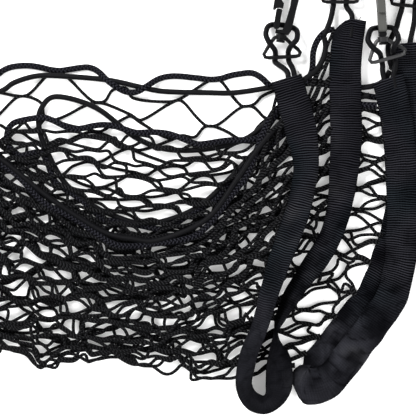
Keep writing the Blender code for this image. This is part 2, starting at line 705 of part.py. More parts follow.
def join(name, first, second, frame, material, sharp):
    """Two overlapping shapes as one solid."""
    items = []
    for index, shape in enumerate((first, second)):
        to_heap(shape, frame)
        items.append(add_mesh(f"{name}_{index}", shape, material))
    union = items[0].modifiers.new("union", "BOOLEAN")
    union.operation = "UNION"
    union.solver = "EXACT"
    union.object = items[1]
    bpy.context.view_layer.update()
    graph = bpy.context.evaluated_depsgraph_get()
    mesh = bpy.data.meshes.new_from_object(items[0].evaluated_get(graph))
    for item in items:
        bpy.data.objects.remove(item)
    mesh.name = name
    mesh.materials.clear()
    return add_object(name, mesh, material, sharp)


def build_eye(hook, frame, material):
    path = [(-3.0, 0.0), (-5.2, -1.4), (-8.6, -5.4), (-12.4, -9.8), (-14.2, -12.6), (-13.2, -14.8),
            (-10.6, -15.4)]
    path += [(-x, y) for x, y in reversed(path)]
    points = [swing((x, y, 0.0), hook["swing"]) for x, y in path]
    collar = tube_ring(COLLAR_RADIUS, BORE_RADIUS, COLLAR_HALF, 14)
    join(f"eye_{hook['number']}", collar, wire(points, EYE_WIRE / 2, 8), frame, material, 40)


def build_hook(hook, frame, material):
    outline = ((-5.2, 2.4), (5.2, 2.4), (7, 6), (7.6, 13), (8.2, 22), (9, 31), (8.6, 37.5), (5.4, 42.8),
               (0, 45), (-5.2, 43.8), (-8.6, 40), (-9.8, 34), (-9.8, 20.4), (-7.9, 20.4), (-7.9, 22.5),
               (-2, 22.5), (-2, 26.5), (-4.8, 29), (-5, 35), (-3.2, 38.4), (-1.7, 39), (1.5, 39),
               (3, 38.2), (3.8, 34), (3.2, 26), (2.4, 19), (1.6, 9), (0.4, 5.2), (-5.2, 5.2))
    start = -COLLAR_HALF - GAP
    neck = ((0, 4), (NECK_RADIUS, 4), (NECK_RADIUS, start), (BUTTON_RADIUS, start),
            (BUTTON_RADIUS, start - BUTTON_LONG), (0, start - BUTTON_LONG))
    body = plate(outline, HOOK_THICK, HOOK_EDGE)
    join(f"hook_{hook['number']}", body, turned(neck, 14), frame, material, 35)


def build_gate(hook, frame, material):
    outline = []
    for step in range(9):
        angle = math.radians(180 + 22.5 * step)
        outline.append((PIVOT.x + PIVOT_RADIUS * math.cos(angle), PIVOT.y + PIVOT_RADIUS * math.sin(angle)))
    outline += [(-2.6, 14), (-2.4, 20.8), (-3.4, 21.7), (-6.2, 21.7), (-7.1, 20.8)]
    shape = plate(outline, LEAF_THICK, 0.5)
    to_heap(shape, frame)
    add_mesh(f"gate_{hook['number']}", shape, material, sharp=35)


def build_loop(hook, frame, material):
    """The elastic from one strand up through the eye, round the back of the hook and down."""
    rise = HITCH["on_edge" if hook["on_edge"] else "flat"]
    left = [frame @ swing(point, hook["swing"]) for point in rise]
    right = [frame @ swing((-x, y, z), hook["swing"]) for x, y, z in rise[:-1]]
    route = [Vector(point) for point in hook["left"]] + left + right[::-1]
    route += [Vector(point) for point in hook["right"]]
    build_cord(f"loop_{hook['number']}", route, material, spacing=0.85)


def main():
    remove_objects()
    cord_black = make_material("cord_black", (0.012, 0.012, 0.014), 0.75)
    webbing_black = make_material("webbing_black", (0.014, 0.015, 0.02), 0.8)
    elastic_black = make_material("elastic_black", (0.016, 0.016, 0.018), 0.55)
    hook_grey = make_material("hook_plastic", (0.045, 0.045, 0.047), 0.38)
    gate_grey = make_material("gate_plastic", (0.06, 0.06, 0.062), 0.4)
    sleeves = {"a": Sleeve(SLEEVE_A), "b": Sleeve(SLEEVE_B, HAIRPIN_ROW)}
    build_sleeve("sleeve_a", sleeves["a"], webbing_black)
    build_sleeve("sleeve_b", sleeves["b"], webbing_black)
    Netting(sleeves).build(cord_black)
    build_cord("elastic_near", ELASTIC_NEAR, elastic_black)
    build_cord("elastic_far", ELASTIC_FAR, elastic_black)
    for hook in HOOKS:
        flat, body = hook_frames(hook)
        build_eye(hook, flat, hook_grey)
        build_hook(hook, body, hook_grey)
        build_gate(hook, body, gate_grey)
        build_loop(hook, flat, elastic_black)


main()
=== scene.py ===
import bisect
import math

import bpy
from mathutils import Matrix, Vector, noise


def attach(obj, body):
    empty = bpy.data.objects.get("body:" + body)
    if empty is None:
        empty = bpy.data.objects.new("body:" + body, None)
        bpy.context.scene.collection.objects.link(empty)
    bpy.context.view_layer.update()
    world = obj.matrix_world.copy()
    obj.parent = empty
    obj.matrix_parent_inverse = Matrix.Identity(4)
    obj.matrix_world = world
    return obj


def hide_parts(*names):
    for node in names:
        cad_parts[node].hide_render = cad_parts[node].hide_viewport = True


# The net lies in a heap, seen from straight above. Lengths in the tables are millimetres from the
# middle of the picture; inFrame turns them into metres in the row frame.
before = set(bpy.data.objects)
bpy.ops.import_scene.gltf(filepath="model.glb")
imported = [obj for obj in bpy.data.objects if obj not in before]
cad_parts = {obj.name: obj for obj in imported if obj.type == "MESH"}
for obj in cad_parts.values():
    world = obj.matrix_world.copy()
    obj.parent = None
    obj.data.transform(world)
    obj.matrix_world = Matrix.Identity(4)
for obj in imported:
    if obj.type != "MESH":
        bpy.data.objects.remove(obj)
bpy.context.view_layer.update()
noise.seed_set(5)  # without this the net would lie a little differently every time
print("stage: frame loaded")


def inFrame(point):
    return (Vector(point) - Vector((-38.65, 29.97, 0.0))) * 0.001


cameraSettings = {"width": 324.5, "height": 2000.0, "sensor": 36.0, "aimHeight": 6.0}


def makeCamera(settings):
    data = bpy.data.cameras.new("viewFromAbove")
    data.sensor_width = settings["sensor"]
    away = settings["height"] - settings["aimHeight"]
    data.lens = settings["sensor"] * away / settings["width"]
    data.clip_end = 10
    camera = bpy.data.objects.new("viewFromAbove", data)
    bpy.context.scene.collection.objects.link(camera)
    camera.location = inFrame((0, 0, settings["height"]))
    bpy.context.scene.camera = camera
    bpy.context.scene.view_settings.view_transform = "Standard"


makeCamera(cameraSettings)
print("stage: camera")


def smoothStep(value):
    # 0 up to value 0, 1 from value 1 on, and a soft rise between.
    value = min(1.0, max(0.0, value))
    return value * value * (3.0 - 2.0 * value)


def waver(*place):
    # Smooth noise between about -1 and 1, the same at the same place.
    return noise.noise(Vector(place))


def waverVector(*place):
    return noise.noise_vector(Vector(place))


def completed(rows, usual):
    # Fills in the values that the rows of a table leave out because they are the usual ones.
    return [tuple(row) + usual[len(row):] for row in rows]


def headingAt(points, index):
    return (points[min(index + 1, len(points) - 1)] - points[max(index - 1, 0)]).normalized()


def lengthOf(line):
    return sum((b - a).length for a, b in zip(line, line[1:]))


class SmoothLine:
    # A curve through points, read by the share of its length in the first `measured` values.
    # With eased, the bends take no notice of how unevenly the points are spaced.
    def __init__(self, points, steps=8, measured=2, eased=False):
        points = [tuple(float(value) for value in point) for point in points]
        self.points = []
        for index in range(len(points) - 1):
            four = [points[max(index - 1, 0)], points[index], points[index + 1],
                    points[min(index + 2, len(points) - 1)]]
            for step in range(steps):
                self.points.append(self.between(four, step / steps, eased))
        self.points.append(points[-1])
        self.lengths = [0.0]
        for start, end in zip(self.points, self.points[1:]):
            self.lengths.append(self.lengths[-1] + math.dist(start[:measured], end[:measured]))

    @staticmethod
    def between(four, share, eased):
        before, start, end, after = four
        enter = leave = 0.5
        if eased:
            gap = max(math.dist(start, end), 1e-6)
            enter = gap / max(math.dist(before, start) + gap, 1e-6)
            leave = gap / max(math.dist(end, after) + gap, 1e-6)
        square, cube = share * share, share ** 3
        return tuple((2 * cube - 3 * square + 1) * b + (cube - 2 * square + share) * (c - a) * enter
                     + (3 * square - 2 * cube) * c + (cube - square) * (d - b) * leave
                     for a, b, c, d in zip(before, start, end, after))

    def at(self, share):
        wanted = min(1.0, max(0.0, share)) * self.lengths[-1]
        low = min(bisect.bisect_right(self.lengths, wanted), len(self.lengths) - 1) - 1
        before, after = self.lengths[low:low + 2]
        part = (wanted - before) / max(after - before, 1e-9)
        return tuple(a + (b - a) * part for a, b in zip(self.points[low], self.points[low + 1]))

    def evenly(self, spacing):
        count = max(3, round(self.lengths[-1] / spacing))
        return [Vector(self.at(index / count)[:3]) for index in range(count + 1)]


class MeshMaker:
    # Gathers points and faces, each face corner with its place along and around the piece.
    def __init__(self):
        self.points, self.faces, self.places, self.shades = [], [], [], []

    def addRing(self, ring, shades=None):
        # shades are the painted shade and light of the piece at each point, where its finish reads
        # them
        start = len(self.points)
        self.points += [inFrame(point) for point in ring]
        self.shades += shades or [1.0] * len(ring)
        return start

    def joinRings(self, first, second, along, across):
        count = len(across) - 1
        for side in range(count):
            after = (side + 1) % count
            self.faces.append((first + side, second + side, second + after, first + after))
            low, high = across[side], across[side + 1]
            self.places += [(along[0], low), (along[1], low), (along[1], high), (along[0], high)]

    def closeRing(self, start, count, turned, along):
        order = range(count) if turned else range(count - 1, -1, -1)
        self.faces.append(tuple(start + side for side in order))
        self.places += [(along, side / count) for side in order]

    def addTube(self, line, radius, sides, thick=1.0):
        # A tube round the points of a line, thick times as high as it is wide.
        up, along, previous = Vector((0, 0, 1)), 0.0, None
        fractions = [side / sides for side in range(sides + 1)]
        for index, point in enumerate(line):
            heading = headingAt(line, index)
            up = up + Vector((0, 0, 0.3))  # so that a flat braid soon lies flat again after a turn
            up = up - heading * up.dot(heading)
            if up.length < 0.05:
                up = heading.orthogonal()
            up.normalize()
            side, placed = heading.cross(up), along
            if index:
                along += (point - line[index - 1]).length
            ring = []
            for number in range(sides):
                angle = 2 * math.pi * number / sides
                ring.append(point + side * (radius * math.cos(angle))
                            + up * (radius * thick * math.sin(angle)))
            first = self.addRing(ring)
            if previous is None:
                self.closeRing(first, sides, False, along)
            else:
                self.joinRings(previous, first, (placed, along), fractions)
            previous = first
        self.closeRing(previous, sides, True, along)
        return along

    def build(self, name, material):
        mesh = bpy.data.meshes.new(name)
        mesh.from_pydata(self.points, [], self.faces)
        layer = mesh.uv_layers.new(name="along")
        for place, item in zip(self.places, layer.data):
            item.uv = place
        if material is webbing:
            mesh.attributes.new("shade", "FLOAT", "POINT").data.foreach_set("value", self.shades)
        mesh.materials.append(material)
        mesh.shade_smooth()
        piece = bpy.data.objects.new(name, mesh)
        bpy.context.scene.collection.objects.link(piece)
        return piece


class Channel:
    # A shader socket that takes part in plain sums.
    def __init__(self, maker, socket):
        self.maker, self.socket = maker, socket

    def sum(self, operation, *others):
        inputs = dict(enumerate((self, *others)))
        return self.maker.node("ShaderNodeMath", {"operation": operation}, inputs)

    def __add__(self, other):
        return self.sum("ADD", other)

    __radd__ = __add__

    def __sub__(self, other):
        return self.sum("SUBTRACT", other)

    def __rsub__(self, other):
        return self.maker.node("ShaderNodeMath", {"operation": "SUBTRACT"}, {0: other, 1: self})

    def __mul__(self, other):
        return self.sum("MULTIPLY", other)

    __rmul__ = __mul__

    def __truediv__(self, other):
        return self.sum("DIVIDE", other)

    def clamped(self):
        return self.sum("MAXIMUM", 0.0).sum("MINIMUM", 1.0)


class Finish:
    # A material and the one method that adds its nodes.
    def __init__(self, name, constants):
        self.material = bpy.data.materials.new(name)
        self.material.use_nodes = True
        self.tree = self.material.node_tree
        self.shader = self.tree.nodes["Principled BSDF"]
        for socket, value in constants.items():
            self.shader.inputs[socket].default_value = value

    def node(self, kind, settings=None, inputs=None, output=0):
        item = self.tree.nodes.new(kind)
        for key, value in (settings or {}).items():
            setattr(item, key, value)
        for key, value in (inputs or {}).items():
            self.feed(item.inputs[key], value)
        return Channel(self, item.outputs[output])

    def feed(self, socket, value):
        if isinstance(value, Channel):
            self.tree.links.new(value.socket, socket)
        else:
            socket.default_value = value

    def out(self, socket, value):
        self.feed(self.shader.inputs[socket], value)

    def mix(self, factor, first, second):
        inputs = {0: factor, 6: first, 7: second}
        return self.node("ShaderNodeMix", {"data_type": "RGBA"}, inputs, output=2)

    def bump(self, height, distance):
        inputs = {"Strength": 1.0, "Distance": distance, "Height": height}
        self.out("Normal", self.node("ShaderNodeBump", None, inputs))

    def objectPlace(self):
        return self.node("ShaderNodeTexCoord", output=3)

    def part(self, vector, index):
        return self.node("ShaderNodeSeparateXYZ", None, {0: vector}, output=index)

    def speckle(self, place, scale, detail, distortion=0.0):
        return self.node("ShaderNodeTexNoise", None, {
            "Vector": place, "Scale": scale, "Detail": detail, "Distortion": distortion})

    def along(self):
        # Millimetres along the piece, and the share of the way round it.
        place = self.node("ShaderNodeUVMap", {"uv_map": "along"})
        return self.part(place, 0), self.part(place, 1)


def colour(tone):
    return (*tone, 1.0)


# The scale and detail of the noises that make the painted highlight of the braids uneven.
braidNoise = {"unevenGlint": (900.0, 3.0), "drift": (35.0, 2.0)}
# "pitch" is how far a strand runs in one turn, "sharp" how narrow its painted ridge highlight is.
braidSettings = {
    "netCord": {"dark": (0.0003, 0.0003, 0.0004), "light": (0.0185, 0.0187, 0.02), "pitch": 2.6,
                "strands": 2.0, "sharp": 5.5, "depth": 0.0004, "roughness": 0.66, "gloss": 0.008},
    "marginBraid": {"dark": (0.0003, 0.0003, 0.0005), "light": (0.019, 0.019, 0.024), "pitch": 3.0,
                    "strands": 3.0, "sharp": 4.5, "depth": 0.0005, "roughness": 0.66,
                    "gloss": 0.008},
    "elastic": {"dark": (0.0006, 0.0006, 0.0009), "light": (0.0026, 0.0026, 0.0034), "pitch": 0.9,
                "strands": 12.0, "sharp": 1.0, "depth": 0.00006, "roughness": 0.42, "gloss": 0.06},
}


def makeBraid(name):
    # Strands that cross in two directions, each over the other in turn.
    values = braidSettings[name]
    finish = Finish(name, {"Specular IOR Level": values["gloss"]})
    along, around = finish.along()
    turns, strands = along / values["pitch"], around * values["strands"]
    first, second = turns + strands, turns - strands
    ridgeFirst, ridgeSecond = [(way.sum("FRACT") * math.pi).sum("SINE") for way in (first, second)]
    over = ((first.sum("FLOOR") + second.sum("FLOOR")) / 2.0).sum("FRACT") * 2.0
    height = ridgeFirst * over + ridgeSecond * (1.0 - over)
    place = finish.objectPlace()
    unevenGlint, drift = [finish.speckle(place, *braidNoise[kind]) for kind in ("unevenGlint", "drift")]
    # painted highlight: the ridges of the strands get the light colour, unevenly, the rest the dark
    share = height.sum("POWER", values["sharp"]) * (0.25 + unevenGlint * 0.8 + drift * 0.65)
    finish.out("Base Color", finish.mix(share, colour(values["dark"]), colour(values["light"])))
    finish.out("Roughness", values["roughness"] + unevenGlint * 0.2)
    finish.bump(height + unevenGlint * 0.25, values["depth"])
    return finish.material


webbingSettings = {
    "dark": (0.0003, 0.0003, 0.0005), "light": (0.0235, 0.0235, 0.029),
    "worn": (0.036, 0.036, 0.0395), "teal": (0.016, 0.02, 0.0245),
    "ribs": 1.85, "threads": 84, "depth": 0.0005, "roughness": 0.8, "gloss": 0.006,
    # the ribs fade out between these places up the picture, metres in the row frame, to a share
    "softBelow": (-0.13, -0.085), "softRibs": 0.12,
    # noise: scale, detail and, for the folds, distortion
    "waves": (55.0, 2.0), "patches": (24.0, 3.0), "tint": (17.0, 1.0), "fuzz": (1100.0, 3.0),
    "folds": (34.0, 2.0, 0.8),
}


def makeWebbing():
    # Cross ribs that wander a little, warp threads, fluff, and patches where the black has faded.
    values = webbingSettings
    finish = Finish("webbing", {"Specular IOR Level": values["gloss"]})
    along, around = finish.along()
    place = finish.objectPlace()
    kinds = ("waves", "patches", "tint", "fuzz", "folds")
    waves, patches, tint, fuzz, folds = [finish.speckle(place, *values[kind]) for kind in kinds]
    # painted highlight: the tops of the ribs are painted lighter than the grooves
    ribs = ((along / values["ribs"] + waves * 2.2) * (2 * math.pi)).sum("SINE") * 0.5 + 0.5
    threads = (around * (2 * math.pi * values["threads"])).sum("SINE") * 0.5 + 0.5
    low, high = values["softBelow"]
    crisp = ((finish.part(place, 1) - low) / (high - low)).clamped()
    crisp = values["softRibs"] + crisp * (1.0 - values["softRibs"])
    # painted shade of the crumpled cloth low down: dark along the crease lines, uneven over folds
    crease = ((folds - 0.5) * 20.0).sum("ABSOLUTE").sum("MINIMUM", 1.0)
    crumpled = crisp + (1.0 - crisp) * (0.6 + crease * 0.4) * (folds * 0.9 + 0.55)
    # where the ribs fade, the patches paint shade and light on the crumpled cloth instead
    ribbed = ribs * ribs * crisp + (1.0 - crisp) * (patches * 0.6 + 0.22)
    share = ribbed * (0.1 + patches * 0.9 + fuzz * 0.4) + fuzz * 0.16 + threads * 0.05 - 0.08
    share = (share * crumpled).clamped()
    faded = finish.mix(((tint - 0.5) * 6.0).clamped() * crisp,
                       colour(values["light"]), colour(values["teal"]))
    faded = finish.mix(((patches - 0.56) * 5.0).clamped(), faded, colour(values["worn"]))
    # the shade attribute is painted shade and light that the mesh carries point by point
    shade = finish.node("ShaderNodeAttribute", {"attribute_name": "shade"}, output=2)
    finish.out("Base Color", finish.mix(share * shade, colour(values["dark"]), faded))
    finish.out("Roughness", values["roughness"] + fuzz * 0.2)
    finish.bump(ribs * crisp + threads * 0.25 + fuzz * 0.4, values["depth"])
    return finish.material


plasticNoise = {"cloud": (220.0, 4.0), "streaks": (900.0, 60.0, 900.0), "grain": (2600.0, 2.0),
                "depth": 0.00008}
plasticSettings = {
    "hookPlastic": {"dark": (0.0014, 0.0014, 0.0016), "light": (0.0042, 0.0042, 0.0047),
                    "roughness": 0.32, "gloss": 0.055},
    # the eye and gate of the hook on edge are paler, a painted sheen; their gloss is real
    "wirePlastic": {"dark": (0.007, 0.007, 0.0075), "light": (0.019, 0.019, 0.02),
                    "roughness": 0.26, "gloss": 0.2},
    "leafPlastic": {"dark": (0.034, 0.034, 0.032), "light": (0.062, 0.062, 0.058),
                    "roughness": 0.4, "gloss": 0.14},
}
# the hook's plastic with a painted sheen above a place up the picture, metres in the row frame
plasticSettings["edgePlastic"] = {**plasticSettings["hookPlastic"], "paintedSheen": (0.05, 0.05, 0.047),
                                  "sheenFrom": (0.112, 0.118)}


def makePlastic(name):
    values = plasticSettings[name]
    finish = Finish(name, {"Specular IOR Level": values["gloss"]})
    place = finish.objectPlace()
    cloud = finish.speckle(place, *plasticNoise["cloud"])
    stretched = {"Vector": place, "Scale": plasticNoise["streaks"]}
    streak = finish.speckle(finish.node("ShaderNodeMapping", None, stretched), 1.0, 2.0)
    grain = finish.speckle(place, *plasticNoise["grain"])
    shade = finish.mix(cloud * 0.7 + streak * 0.6 - 0.15,
                       colour(values["dark"]), colour(values["light"]))
    if "paintedSheen" in values:
        low, high = values["sheenFrom"]
        rise = ((finish.part(place, 1) - low) / (high - low)).clamped()
        shade = finish.mix(rise, shade, colour(values["paintedSheen"]))
    finish.out("Base Color", shade)
    finish.out("Roughness", values["roughness"] + cloud * 0.15)
    finish.bump(grain + streak * 0.5, plasticNoise["depth"])
    return finish.material


netCord, marginBraid, elasticFinish = [makeBraid(name) for name in braidSettings]
webbing = makeWebbing()
hookPlastic, wirePlastic, leafPlastic, edgePlastic = [makePlastic(name) for name in plasticSettings]
print("stage: materials")


# Routes of the elastics. The third value is the height, 4.9 where it is left out.
cordSettings = {
    "width": 4.3, "sides": 14, "spacing": 1.6, "loopSpacing": 1.1, "usual": (0, 0, 4.9),
    "elasticNear": (
        (142, 107), (136, 98.5), (125, 94.5), (112, 94.3, 5.0), (100, 95.5), (89, 98), (79, 99.5),
        (71, 98), (48, 94), (21, 90), (0, 90), (-34, 91), (-51, 94), (-79, 100), (-115, 103),
        (-134, 103), (-151, 98), (-162, 91), (-186, 84), (-211, 78), (-220, 70), (-207, 63, 5.6),
        (-181, 50, 11.6), (-159, 36.5, 12.6), (-128, 11.5, 12.6), (-101, -7, 12.6),
        (-78, -19.8, 12.6), (-58, -24, 12.6), (-38, -24.8, 12.6), (-1.5, -9, 12.6),
        (21.5, 20.5, 12.6), (36, 42, 12.9), (46, 55, 12.6), (54, 64, 11.2), (62, 71, 9.8),
        (70, 76, 9.6)),
    "elasticFar": (
        (90, 134, 9.6), (91.6, 126, 9.7), (90.2, 118, 9.7), (86.6, 110.5, 9.7), (81, 104.5, 9.8),
        (73, 98.5, 9.6), (64.5, 89, 8.6), (54, 76, 6.8), (43, 64, 5.2), (27, 53), (-1, 46),
        (-33, 46), (-58, 56), (-87, 78), (-118, 87), (-130, 78), (-132, 64), (-126, 45),
        (-112, 20), (-93, 4), (-76, -5), (-53, -12), (-30, -9), (-6, 2), (16, 22), (37, 44),
        (60, 61.5), (81, 75.5), (103, 83), (126, 88, 5.8)),
}
# Hooks: the middle of the eye's collar, how far it leans, whether it stands on edge, how far its
# eye hangs to the left, and the two strands of its loop.
hookTable = (
    {"number": 1, "at": (57, 133, 8.3), "lean": 9, "onEdge": False, "swing": 12,
     "left": ((64.2, 92.5, 14.2), (62.6, 99.5, 14.2), (61.2, 106.5, 13.0)),
     "right": ((65.8, 108.5, 12.6), (67.4, 102.5, 13.9), (69.4, 94.5, 14.2))},
    {"number": 2, "at": (103, 176, 8.3), "lean": 0, "onEdge": False, "swing": 0,
     "left": ((90.2, 134.4, 9.6), (92.5, 139, 9.4), (95.5, 147, 7.2)),
     "right": ((111.9, 150.5, 8.8), (112.0, 143.0, 10.1), (111.2, 133.0, 10.15))},
    {"number": 3, "at": (136, 131, 13.0), "lean": -3.5, "onEdge": True, "swing": 12,
     "left": ((139.2, 92.0, 9.3), (137.4, 99.5, 9.6), (136, 106.5, 9.6)),
     "right": ((145.4, 108, 9.6), (144.4, 102.0, 9.6), (145.9, 93.5, 9.3))},
    {"number": 4, "at": (158, 173, 8.3), "lean": 5, "onEdge": False, "swing": 0,
     "left": ((142.7, 108.2, 4.9), (143.3, 110.3, 4.5), (141.2, 118, 3.8), (140.8, 127, 3.4),
              (144, 134.5, 3.2), (147.2, 141, 3.2), (149, 148, 3.4)),
     "right": ((161, 145, 3.2), (159.2, 136, 2.6), (157.8, 128.5, 2.3), (157.4, 119.5, 2.3))},
)
# Half of a loop's hitch, from below the eye to the middle of the hook's back.
hitchStart = ((-5.3, -19, -4.3), (-5, -15.4, -4.2), (-5, -12.3, -3.0), (-5.2, -10.8, 0.3),
              (-6.4, -8.4, 3.4), (-9, -5.2, 4.5))
hitchFlat = hitchStart + ((-12, -0.5, 3.4), (-12.2, 4, 0.6), (-11.4, 6.8, -2.0), (-9.9, 8.3, -4.6),
                          (-7.4, 9.3, -6.0), (0, 10, -6.0))
hitchOnEdge = hitchStart + ((-11.8, -0.5, 3.6), (-10.8, 4.5, 1.2), (-8.5, 8.4, -4),
                            (-5.2, 9.8, -9.1), (0, 10.2, -10.3))


def loopRoute(hook):
    # The eye hangs aside, and the hitch follows it gradually below its middle.
    rise = hitchOnEdge if hook["onEdge"] else hitchFlat
    place = Matrix.Translation(hook["at"]) @ Matrix.Rotation(-math.radians(hook["lean"]), 4, "Z")
    left, right = [], []
    for side, points in ((1, left), (-1, right)):
        for x, y, z in rise:
            swing = math.radians(hook["swing"]) * smoothStep((-y - 1.0) / 8.0)
            points.append(place @ Matrix.Rotation(swing, 4, "Z") @ Vector((side * x, y, z)))
    return [*hook["left"], *left, *right[-2::-1], *hook["right"]]


def makeCord(name, node, route, spacing):
    line = SmoothLine(route, measured=3).evenly(spacing)
    maker = MeshMaker()
    long = maker.addTube(line, cordSettings["width"] / 2, cordSettings["sides"])
    piece = maker.build(name, elasticFinish)
    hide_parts(node)
    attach(piece, "net_body")


for name, node in (("elasticNear", "elastic_near"), ("elasticFar", "elastic_far")):
    table = completed(cordSettings[name], cordSettings["usual"])
    makeCord(name, node, table, cordSettings["spacing"])
for hookRow in hookTable:
    number = hookRow["number"]
    route = loopRoute(hookRow)
    makeCord("loop%d" % number, "loop_%d" % number, route, cordSettings["loopSpacing"])
print("stage: elastic and loops")


# Rows of "a" and "b": x, y, the height it lies on, and width and roll where they aren't usual.
sleeveSettings = {
    "gap": 0.35, "thick": 3.0, "wall": 0.7, "around": 36, "spacing": 1.35, "lowest": 0.05,
    # the row of "b" at which it is folded over, and where that is by share of its length
    "hairpin": 15, "turnedBack": 0.497,
    "usual": (0, 0, 0, 25, 0), "seeds": {"a": 3.7, "b": 11.3},
    # how square the section is across and upwards, and the painted shade of the inside
    "square": (0.55, 0.8), "insideShade": 0.3,
    # wandering sideways and change of width: how far, and over what length
    "sway": (1.1, 17), "narrowing": (0.05, 11), "freeAfter": 14,
    # the ends of the hairpin fold: over what length, and how far they are drawn in
    "corner": (20, 9.5),
    # loose threads of the mouths: how many, how thick, how far they stand out
    "threads": 6, "threadRadius": 0.16, "threadReach": (1.4, 3.2),
    # how far one side of a mouth runs past the other, at the start and at the end
    "slants": {"a": (0.0, -12.5), "b": (1.6, 0.0)}, "slantOver": 22,
    # cords that puff up the mouths: end, place across, how far in
    "cordsIn": {"a": ((0, 1.4, 10), (0, -5.2, 10), (1, 2.0, 11)),
                "b": ((0, -1.0, 10), (0, 5.6, 10), (1, -1.6, 9))},
    "cordBulge": (2.6, 1.5),
    # by share of the length: how strongly the cloth is creased, how far its upper side puffs up,
    # and its painted shade and light
    "creased": {
        "a": ((0, 0.35), (0.3, 0.55), (0.42, 0.5), (0.5, 0.7), (0.58, 1.1), (0.7, 1.3),
              (0.8, 0.6), (0.9, 0.35), (1, 0.35)),
        "b": ((0, 0.45), (0.15, 0.4), (0.27, 0.8), (0.36, 1.4), (0.47, 1.7), (0.53, 1.5),
              (0.65, 1.5), (0.8, 1.1), (0.9, 0.4), (1, 0.4))},
    "puffed": {
        "a": ((0, 0.1), (0.3, 0.2), (0.6, 0.35), (0.8, 0.2), (1, 0.1)),
        "b": ((0, 0.1), (0.2, 0.3), (0.34, 1.2), (0.42, 1.9), (0.485, 1.6), (0.505, 0.0),
              (1, 0.0))},
    "shaded": {
        "a": ((0, 0.9), (0.36, 1.0), (0.42, 0.7), (0.5, 0.55), (0.6, 0.55), (0.7, 0.7),
              (0.8, 0.9), (1, 0.9)),
        "b": ((0, 1.05), (0.3, 1.1), (0.42, 1.05), (0.5, 0.85), (0.62, 0.75), (0.82, 0.75),
              (0.9, 1.0), (1, 1.0))},
    "a": (
        (61, 101, 12.4, 24), (66, 84, 12.0), (72, 61, 11.4), (76, 37, 10.6, 20.5, 8),
        (74, 16, 10.8, 20, 22), (68, -8, 11.2, 22.5, 34), (55, -42, 11.4, 24, 46),
        (46, -70, 11.6, 25, 58), (40, -92, 11.6, 25, 62), (33.5, -108, 11.6, 25, 60),
        (29.5, -121, 11.4, 25, 60), (27.5, -134, 8.5, 25, 62), (30, -144, 5.0, 25, 58),
        (36.5, -151, 3.0, 25, 52), (44.5, -153, 2.5, 25, 50), (51.5, -148, 3.5, 25, 46),
        (55, -138, 5.6, 25, 33), (55.5, -125, 6.4, 25, 32), (54.5, -113, 7.6, 25, 50),
        (52.5, -102, 8.8, 24, 78), (55, -88, 9.0, 24, 102), (62.5, -72, 8.6, 23, 120),
        (73, -56, 8.2, 19.5, 136), (85, -39, 7.6, 21, 147), (96, -21, 7.0, 18.5, 157),
        (102, 0, 6.6, 20, 168), (106, 30, 6.8, 23, 176), (107.5, 57, 7.6, 25, 180),
        (107, 84, 8.3, 25, 180), (107, 108, 8.3, 25, 180), (108, 127, 8.3, 25, 180),
        (111.6, 147.5, 8.3, 24, 180)),
    "b": (
        (140, 101, 7.8), (143, 88, 7.0), (147, 69, 4.4), (150, 45, 3.6), (151, 22, 3.6),
        (152, -2, 3.6), (151, -22, 3.6), (150, -41, 3.6), (143.5, -68, 3.6), (126, -94, 3.6),
        (113, -113, 3.6), (98, -131, 3.6, 26), (86, -138, 3.6, 29), (76, -139.2, 3.6, 31),
        (70.5, -138, 3.6, 31), (68.6, -137.2, 1.9, 31), (70.5, -136.4, 0.1, 31),
        (77, -131, 0.1, 28), (86, -121, 0.1, 26), (101, -102, 0.1, 24), (115, -85, 0.1, 24),
        (127, -68, 0.1, 24), (135, -52, 0.1, 24), (142, -34, 0.1, 24), (148, -15, 0.1),
        (153, 6, 0.1), (158, 26, 0.1), (161, 45, 0.1), (161, 69, 0.1), (159, 92, 0.1),
        (157, 115, 0.1), (156, 129, 0.1)),
}


class SleeveForm:
    # The middle line and the sideways direction of a sleeve, which the netting is sewn along.
    def __init__(self, table, hairpin=None):
        table = completed(table, sleeveSettings["usual"])
        rows = []
        for index, (x, y, liesOn, width, roll) in enumerate(table):
            start, end = max(index - 1, 0), min(index + 1, len(table) - 1)
            turned = hairpin is not None and index > hairpin
            if index == hairpin:
                side = Vector((-0.35, 0.94, 0.0))  # along the crease
            else:
                if turned and start < hairpin + 1:
                    start = index
                if hairpin is not None and not turned and end > hairpin - 1:
                    end = index
                heading = (Vector(table[end][:2]) - Vector(table[start][:2])).normalized()
                right = Vector((heading.y, -heading.x, 0.0)) * (-1 if turned else 1)
                roll = math.radians(roll)
                side = right * math.cos(roll) - Vector((0, 0, math.sin(roll)))
            rows.append((x, y, liesOn, width, *side))
        self.line = SmoothLine(rows)

    def middle(self, values):
        x, y, liesOn, width, *side = values
        side = Vector(side).normalized()
        flat = math.hypot(side.x, side.y)
        rise = sleeveSettings["gap"] + width / 2 * abs(side.z) + sleeveSettings["thick"] / 2 * flat
        return Vector((x, y, liesOn + rise)), side

    def seam(self, share):
        values = self.line.at(share)
        middle, side = self.middle(values)
        return middle + side * (values[3] / 2 + sleeveSettings["gap"] + 1.2 * abs(side.z))

    def flatness(self, share):
        # 1 where the sleeve lies flat, 0 where it stands on edge.
        return 1.0 - abs(self.middle(self.line.at(share))[1].z)


def shareOf(stops, share):
    for (low, first), (high, second) in zip(stops, stops[1:]):
        if share <= high:
            return first + (second - first) * (share - low) / (high - low)
    return stops[-1][1]


